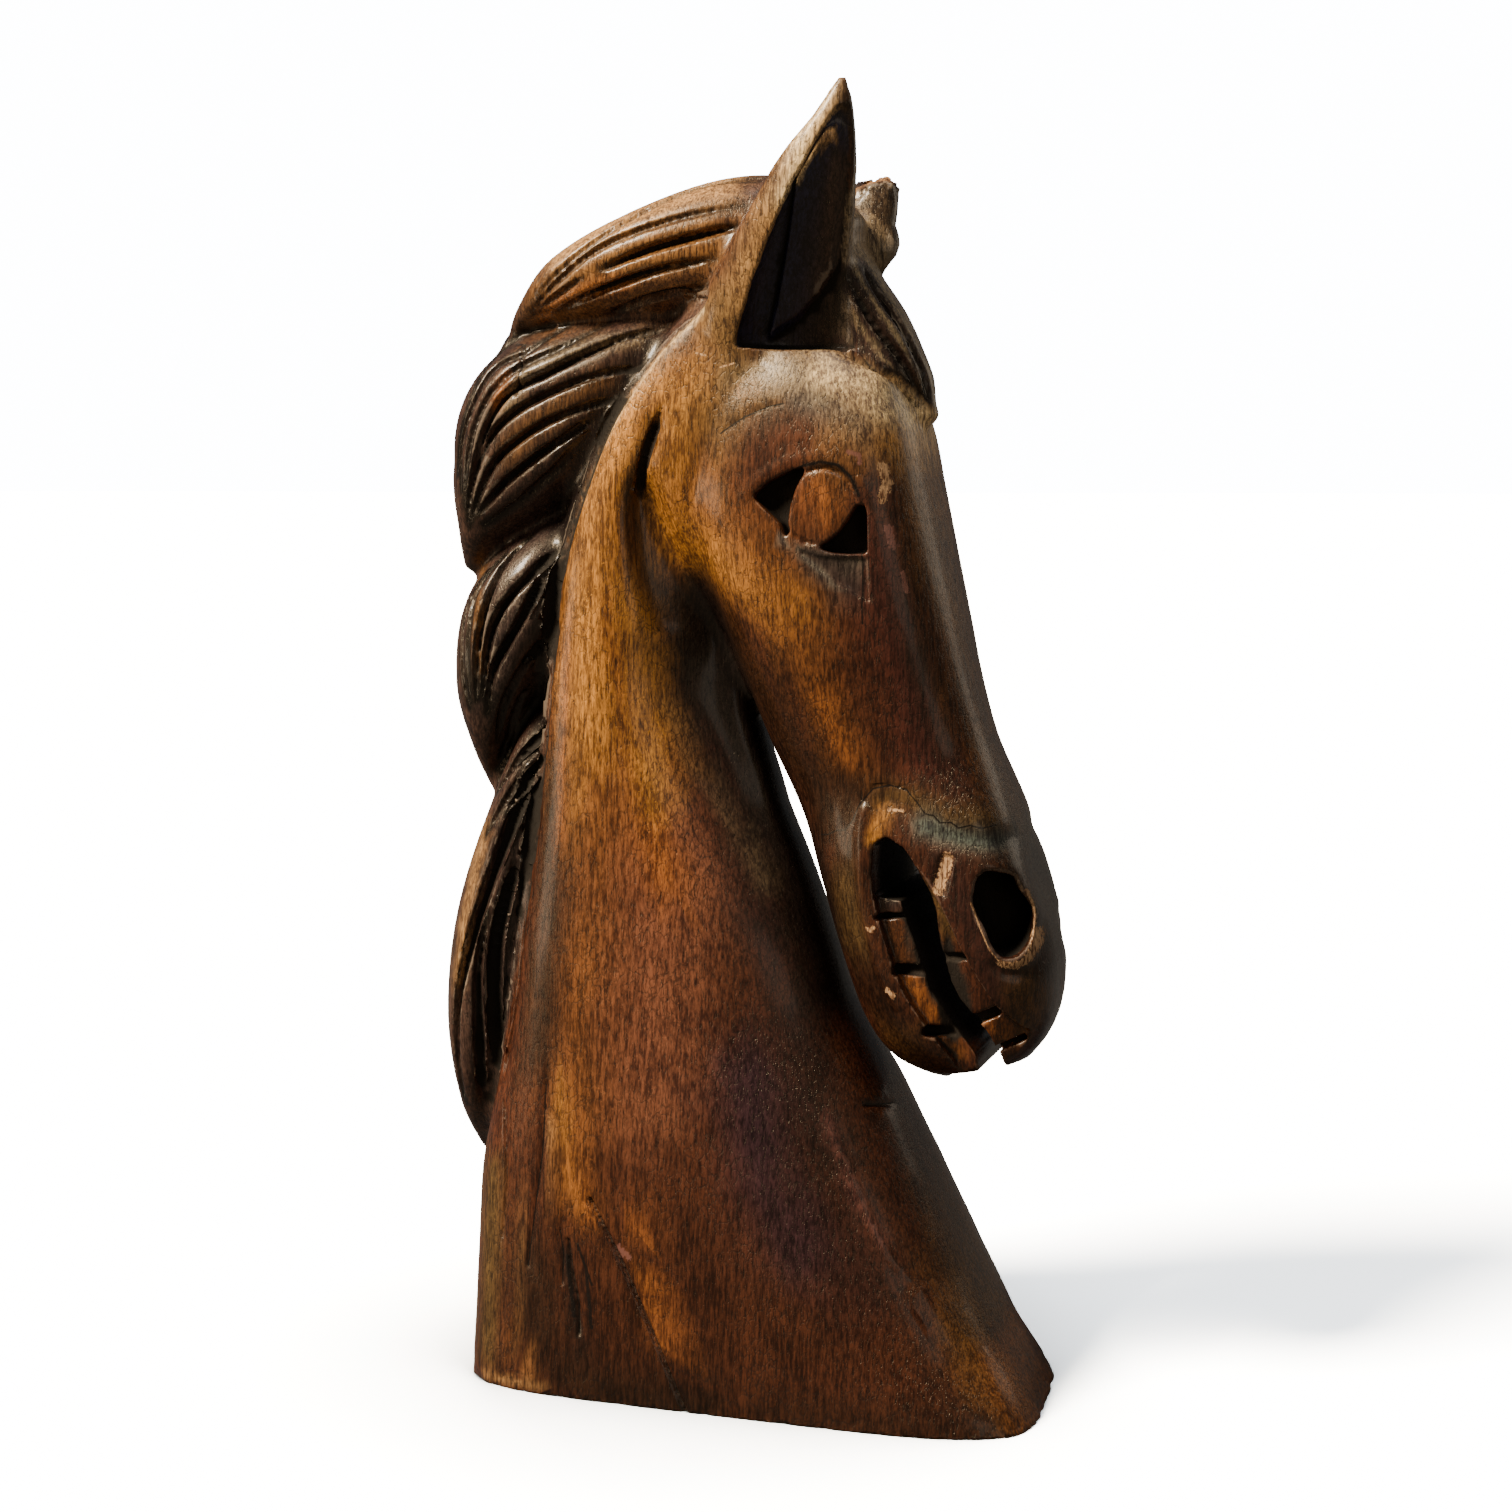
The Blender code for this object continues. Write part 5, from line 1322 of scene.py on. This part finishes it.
# %% Stained and varnished hardwood, with painted light and shade
wood = Recipe("stained_wood")
along_grain = wood.stretched((1.0, 1.0, 0.07))
short_grain = wood.stretched((1.0, 1.0, 0.16))
even = wood.stretched((1.0, 1.0, 1.0))

streaks = wood.noise(along_grain, 720.0, 4.0, 0.65)
broad_streaks = wood.noise(along_grain, 130.0, 3.0, 0.6)
fibres = wood.noise(short_grain, 1250.0, 3.0, 0.7)
pores = wood.noise(short_grain, 1500.0, 2.0, 0.5)
clouds = wood.noise(even, 45.0, 5.0, 0.65)
flecks = wood.noise(even, 700.0, 3.0, 0.7)
crackle_place = wood.stretched((1.0, 1.0, 0.45))
wander = wood.node("ShaderNodeTexNoise", {}, {"Vector": even, "Scale": 300.0, "Detail": 2.0}, "Color")
bent = wood.vector("ADD", {0: crackle_place, 1: wood.vector("SCALE", {0: wander, "Scale": 0.0022})})
crackle = wood.node("ShaderNodeTexVoronoi", {"feature": "DISTANCE_TO_EDGE"}, {"Vector": bent, "Scale": 420.0})

dark_share = wood.attribute("dark")
worn_share = wood.attribute("worn")
hair_share = wood.attribute("hair")
stain = wood.attribute("tone", "Color")

lighter = wood.mix(1.0, stain, (2.25, 1.95, 1.60, 1), "MULTIPLY")
darker = wood.mix(1.0, stain, (0.38, 0.30, 0.32, 1), "MULTIPLY")
grain = wood.between(streaks * 0.32 + fibres * 0.36 + broad_streaks * 0.12 + clouds * 0.20, 0.41, 0.60)
ground = wood.mix(grain, darker, lighter)
pore_mask = wood.between(pores, 0.58, 0.70)
ground = wood.mix(pore_mask * 0.55, ground, (0.006, 0.004, 0.003, 1))
crackle_mask = (1 - wood.between(crackle, 0.02, 0.10)) * wood.between(clouds, 0.42, 0.60)
ground = wood.mix(crackle_mask * 0.5, ground, (0.008, 0.005, 0.004, 1))
fleck_mask = wood.between(flecks + (clouds - 0.5) * 0.3, 0.60, 0.70)
gilded = wood.mix(1.0, stain, (3.2, 2.9, 2.3, 1), "MULTIPLY")
ground = wood.mix(fleck_mask * 0.4, ground, gilded)
rubbed = wood.mix(1.0, stain, (2.6, 2.5, 2.4, 1), "MULTIPLY")
rubbed = wood.mix(0.20 + hair_share * 0.30, rubbed, (0.27, 0.20, 0.13, 1))
wear_mask = wood.between(worn_share + (flecks - 0.5) * 0.8 + (clouds - 0.5) * 0.6, 0.35, 0.75)
ground = wood.mix(wear_mask * 0.8, ground, rubbed)

groove_gap = wood.attribute("groove_gap")
groove_side = wood.attribute("groove_side")
groove_wide = wood.attribute("groove_wide")
half_groove = groove_wide * groove_wide * 1.25 + 0.1
# Grooves go nearly black: partly dark stain, partly painted shade.
near_groove = 1 - wood.between(groove_gap - half_groove * 1.25, 0.2, 0.9)
across_groove = groove_side / half_groove
off_centre = across_groove.maths("ABSOLUTE") + (flecks - 0.5) * 0.3
groove_mask = near_groove * (1 - wood.between(off_centre, 0.75, 1.15))
lit_edge = near_groove * wood.between(across_groove + (flecks - 0.5) * 0.6, 1.0, 1.2)
lit_edge = lit_edge * (1 - wood.between(across_groove, 1.4, 1.8))
ground = wood.mix(lit_edge * 0.75, ground, (0.34, 0.27, 0.19, 1))

side_place = wood.stretched((1.0, 0.0, 1.0))
depth_place = wood.node("ShaderNodeSeparateXYZ", {}, {0: even}, 1)
near_side = (1 - wood.between(depth_place, -0.012, -0.010)) * (1 - wood.between(dark_share, 0.3, 0.6))
ragged = (flecks - 0.5) * 2.6 + (fibres - 0.5) * 2.2
bare_mask = near_side * (1 - wood.between(wood.marks(side_place, BARE_MARKS) + ragged, 0.8, 1.05))
rose_mask = near_side * (1 - wood.between(wood.marks(side_place, ROSE_MARKS) + ragged, 0.6, 1.2))
line_mask = near_side * (1 - wood.between(wood.marks(side_place, DARK_MARKS) + ragged * 0.3, 0.6, 1.2))
bare = wood.mix(wood.between(fibres, 0.38, 0.56), (0.10, 0.035, 0.014, 1), (0.60, 0.33, 0.15, 1))
ground = wood.mix(bare_mask * 0.85, ground, bare)
ground = wood.mix(rose_mask * 0.6, ground, (0.22, 0.085, 0.060, 1))
ground = wood.mix(line_mask * 0.9, ground, (0.004, 0.003, 0.003, 1))

# Cuts go nearly black: partly dark stain, partly painted shade.
cut_mask = wood.between(dark_share + (flecks - 0.5) * 0.25, 0.25, 0.75)
cut_mask = cut_mask.maths("MAXIMUM", groove_mask)
ground = wood.mix(cut_mask * 0.97, ground, (0.0032, 0.0026, 0.0030, 1))
roughness = 0.27 + streaks * 0.14 + bare_mask * 0.3 + cut_mask * 0.45
varnish = (1 - cut_mask) * (1 - bare_mask) * 0.20

height = streaks * 0.45 + fibres * 0.35 - pore_mask * 0.6 - crackle_mask * 0.25 + flecks * 0.30
fine = wood.node("ShaderNodeBump", {}, {"Height": height, "Strength": 0.50, "Distance": 0.0005})
carved = wood.node("ShaderNodeBump", {}, {"Height": 0 - groove_mask, "Strength": 0.6,
                                          "Distance": 0.0010, "Normal": fine})
wood.put(wood.shader, {"Base Color": ground, "Roughness": roughness, "Normal": carved,
                       "Coat Weight": varnish, "Coat Roughness": 0.16, "Coat Tint": (1.0, 0.93, 0.85, 1),
                       "Specular IOR Level": 0.38, "Specular Tint": (1.0, 0.78, 0.50, 1)})
horse.data.materials.clear()
horse.data.materials.append(wood.material)
print("nodes in the wood", len(wood.tree.nodes))

# %% [markdown]
# ## Into the frame
# The carved mesh stands for the plain solid. It rides on the one body and takes the record's wood slot.

# %% Dress the frame
workshop.objects.unlink(horse)
# The carved mesh stands for the plain solid. It rides on the one body.
bpy.context.scene.collection.objects.link(horse)
bpy.data.collections.remove(workshop)
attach(horse, "root")
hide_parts("horse_head")

# %% [markdown]
# ## Studio
# The floor is one flat, pale plane. An Ambient Occlusion node paints a soft shadow on it near the foot, and
# only the camera sees it bright, so that it throws little light back at the wood. A warm, soft sun is the key
# light from the upper left, and four soft lamps help it: front, rim, side and top. The camera stands where
# the
# photographer stood: 18 degrees round to the horse's front and about 6 degrees above its middle.

# %% Floor, lights and camera
seen = Recipe("pale_floor")
is_seen = seen.node("ShaderNodeLightPath", {}, {}, "Is Camera Ray")
# The floor's colour is darkened near the foot: a painted contact shadow.
near_foot = seen.node("ShaderNodeAmbientOcclusion", {"samples": 2}, {"Distance": 0.14}, "AO")
openness = seen.between(near_foot, 0.50, 1.0)
lit_floor = seen.mix(openness * openness * openness, (0.18, 0.22, 0.23, 1), (9.5, 9.5, 9.5, 1))
unseen = seen.node("ShaderNodeBsdfDiffuse", {}, {"Color": (0.08, 0.08, 0.08, 1)})
visible = seen.node("ShaderNodeBsdfDiffuse", {}, {"Color": lit_floor})
chosen = seen.node("ShaderNodeMixShader", {}, {0: is_seen, 1: unseen, 2: visible})
seen.put(seen.tree.nodes["Material Output"], {"Surface": chosen})
plane = bmesh.new()
bmesh.ops.create_grid(plane, x_segments=1, y_segments=1, size=60)
bmesh.ops.translate(plane, verts=plane.verts, vec=(0, 0, -0.0002))
floor_mesh = bpy.data.meshes.new("floor")
plane.to_mesh(floor_mesh)
plane.free()
floor_mesh.materials.append(seen.material)
floor = bpy.data.objects.new("floor", floor_mesh)
bpy.context.scene.collection.objects.link(floor)

world = bpy.data.worlds.new("studio")
world.use_nodes = True
sky = world.node_tree
background = sky.nodes["Background"]
background.inputs["Color"].default_value = (0.93, 0.96, 1.0, 1)
path = sky.nodes.new("ShaderNodeLightPath")
glow = sky.nodes.new("ShaderNodeMapRange")
glow.inputs["To Min"].default_value = 0.10
glow.inputs["To Max"].default_value = 16.0
sky.links.new(path.outputs["Is Camera Ray"], glow.inputs["Value"])
sky.links.new(glow.outputs["Result"], background.inputs["Strength"])
bpy.context.scene.world = world


def soft_light(name, place, target, size, power, colour):
    lamp = bpy.data.lights.new(name, "AREA")
    lamp.shape = "DISK"
    lamp.size = size
    lamp.energy = power
    lamp.color = colour
    obj = bpy.data.objects.new(name, lamp)
    obj.location = place
    obj.rotation_euler = (Vector(target) - Vector(place)).to_track_quat("-Z", "Y").to_euler()
    bpy.context.scene.collection.objects.link(obj)


soft_light("front", (1.5, -1.3, 0.5), (0, 0, 0.25), 0.8, 2.2, (1.0, 0.92, 0.82))
soft_light("rim", (0.9, 1.0, 0.7), (0, 0, 0.27), 0.7, 1.6, (1.0, 0.90, 0.74))
soft_light("side", (-1.5, -1.1, 0.25), (0, 0, 0.27), 0.5, 5, (1.0, 0.84, 0.62))
soft_light("top", (0.3, -0.3, 1.9), (0, 0, 0.3), 1.0, 8, (0.80, 0.90, 1.0))
key = bpy.data.lights.new("key", "SUN")
key.energy = 9.0
key.angle = math.radians(18)
key.color = (1.0, 0.92, 0.80)
key_lamp = bpy.data.objects.new("key", key)
key_lamp.rotation_euler = Vector((1.05, 0.95, -1.35)).to_track_quat("-Z", "Y").to_euler()
bpy.context.scene.collection.objects.link(key_lamp)

TARGET = Vector((-0.0075, -0.0024, 0.2472))
AZIMUTH = math.radians(18)
ELEVATION = math.radians(6.21)
PHOTO_WIDTH = 1512
FOCAL_LENGTH = 2552
lens = bpy.data.cameras.new("camera")
lens.sensor_width = 36
lens.lens = 36 * FOCAL_LENGTH / PHOTO_WIDTH
camera = bpy.data.objects.new("camera", lens)
back = Vector((math.sin(AZIMUTH) * math.cos(ELEVATION), -math.cos(AZIMUTH) * math.cos(ELEVATION),
               math.sin(ELEVATION)))
camera.location = TARGET + back
camera.rotation_euler = (-back).to_track_quat("-Z", "Y").to_euler()
bpy.context.scene.collection.objects.link(camera)
bpy.context.scene.camera = camera
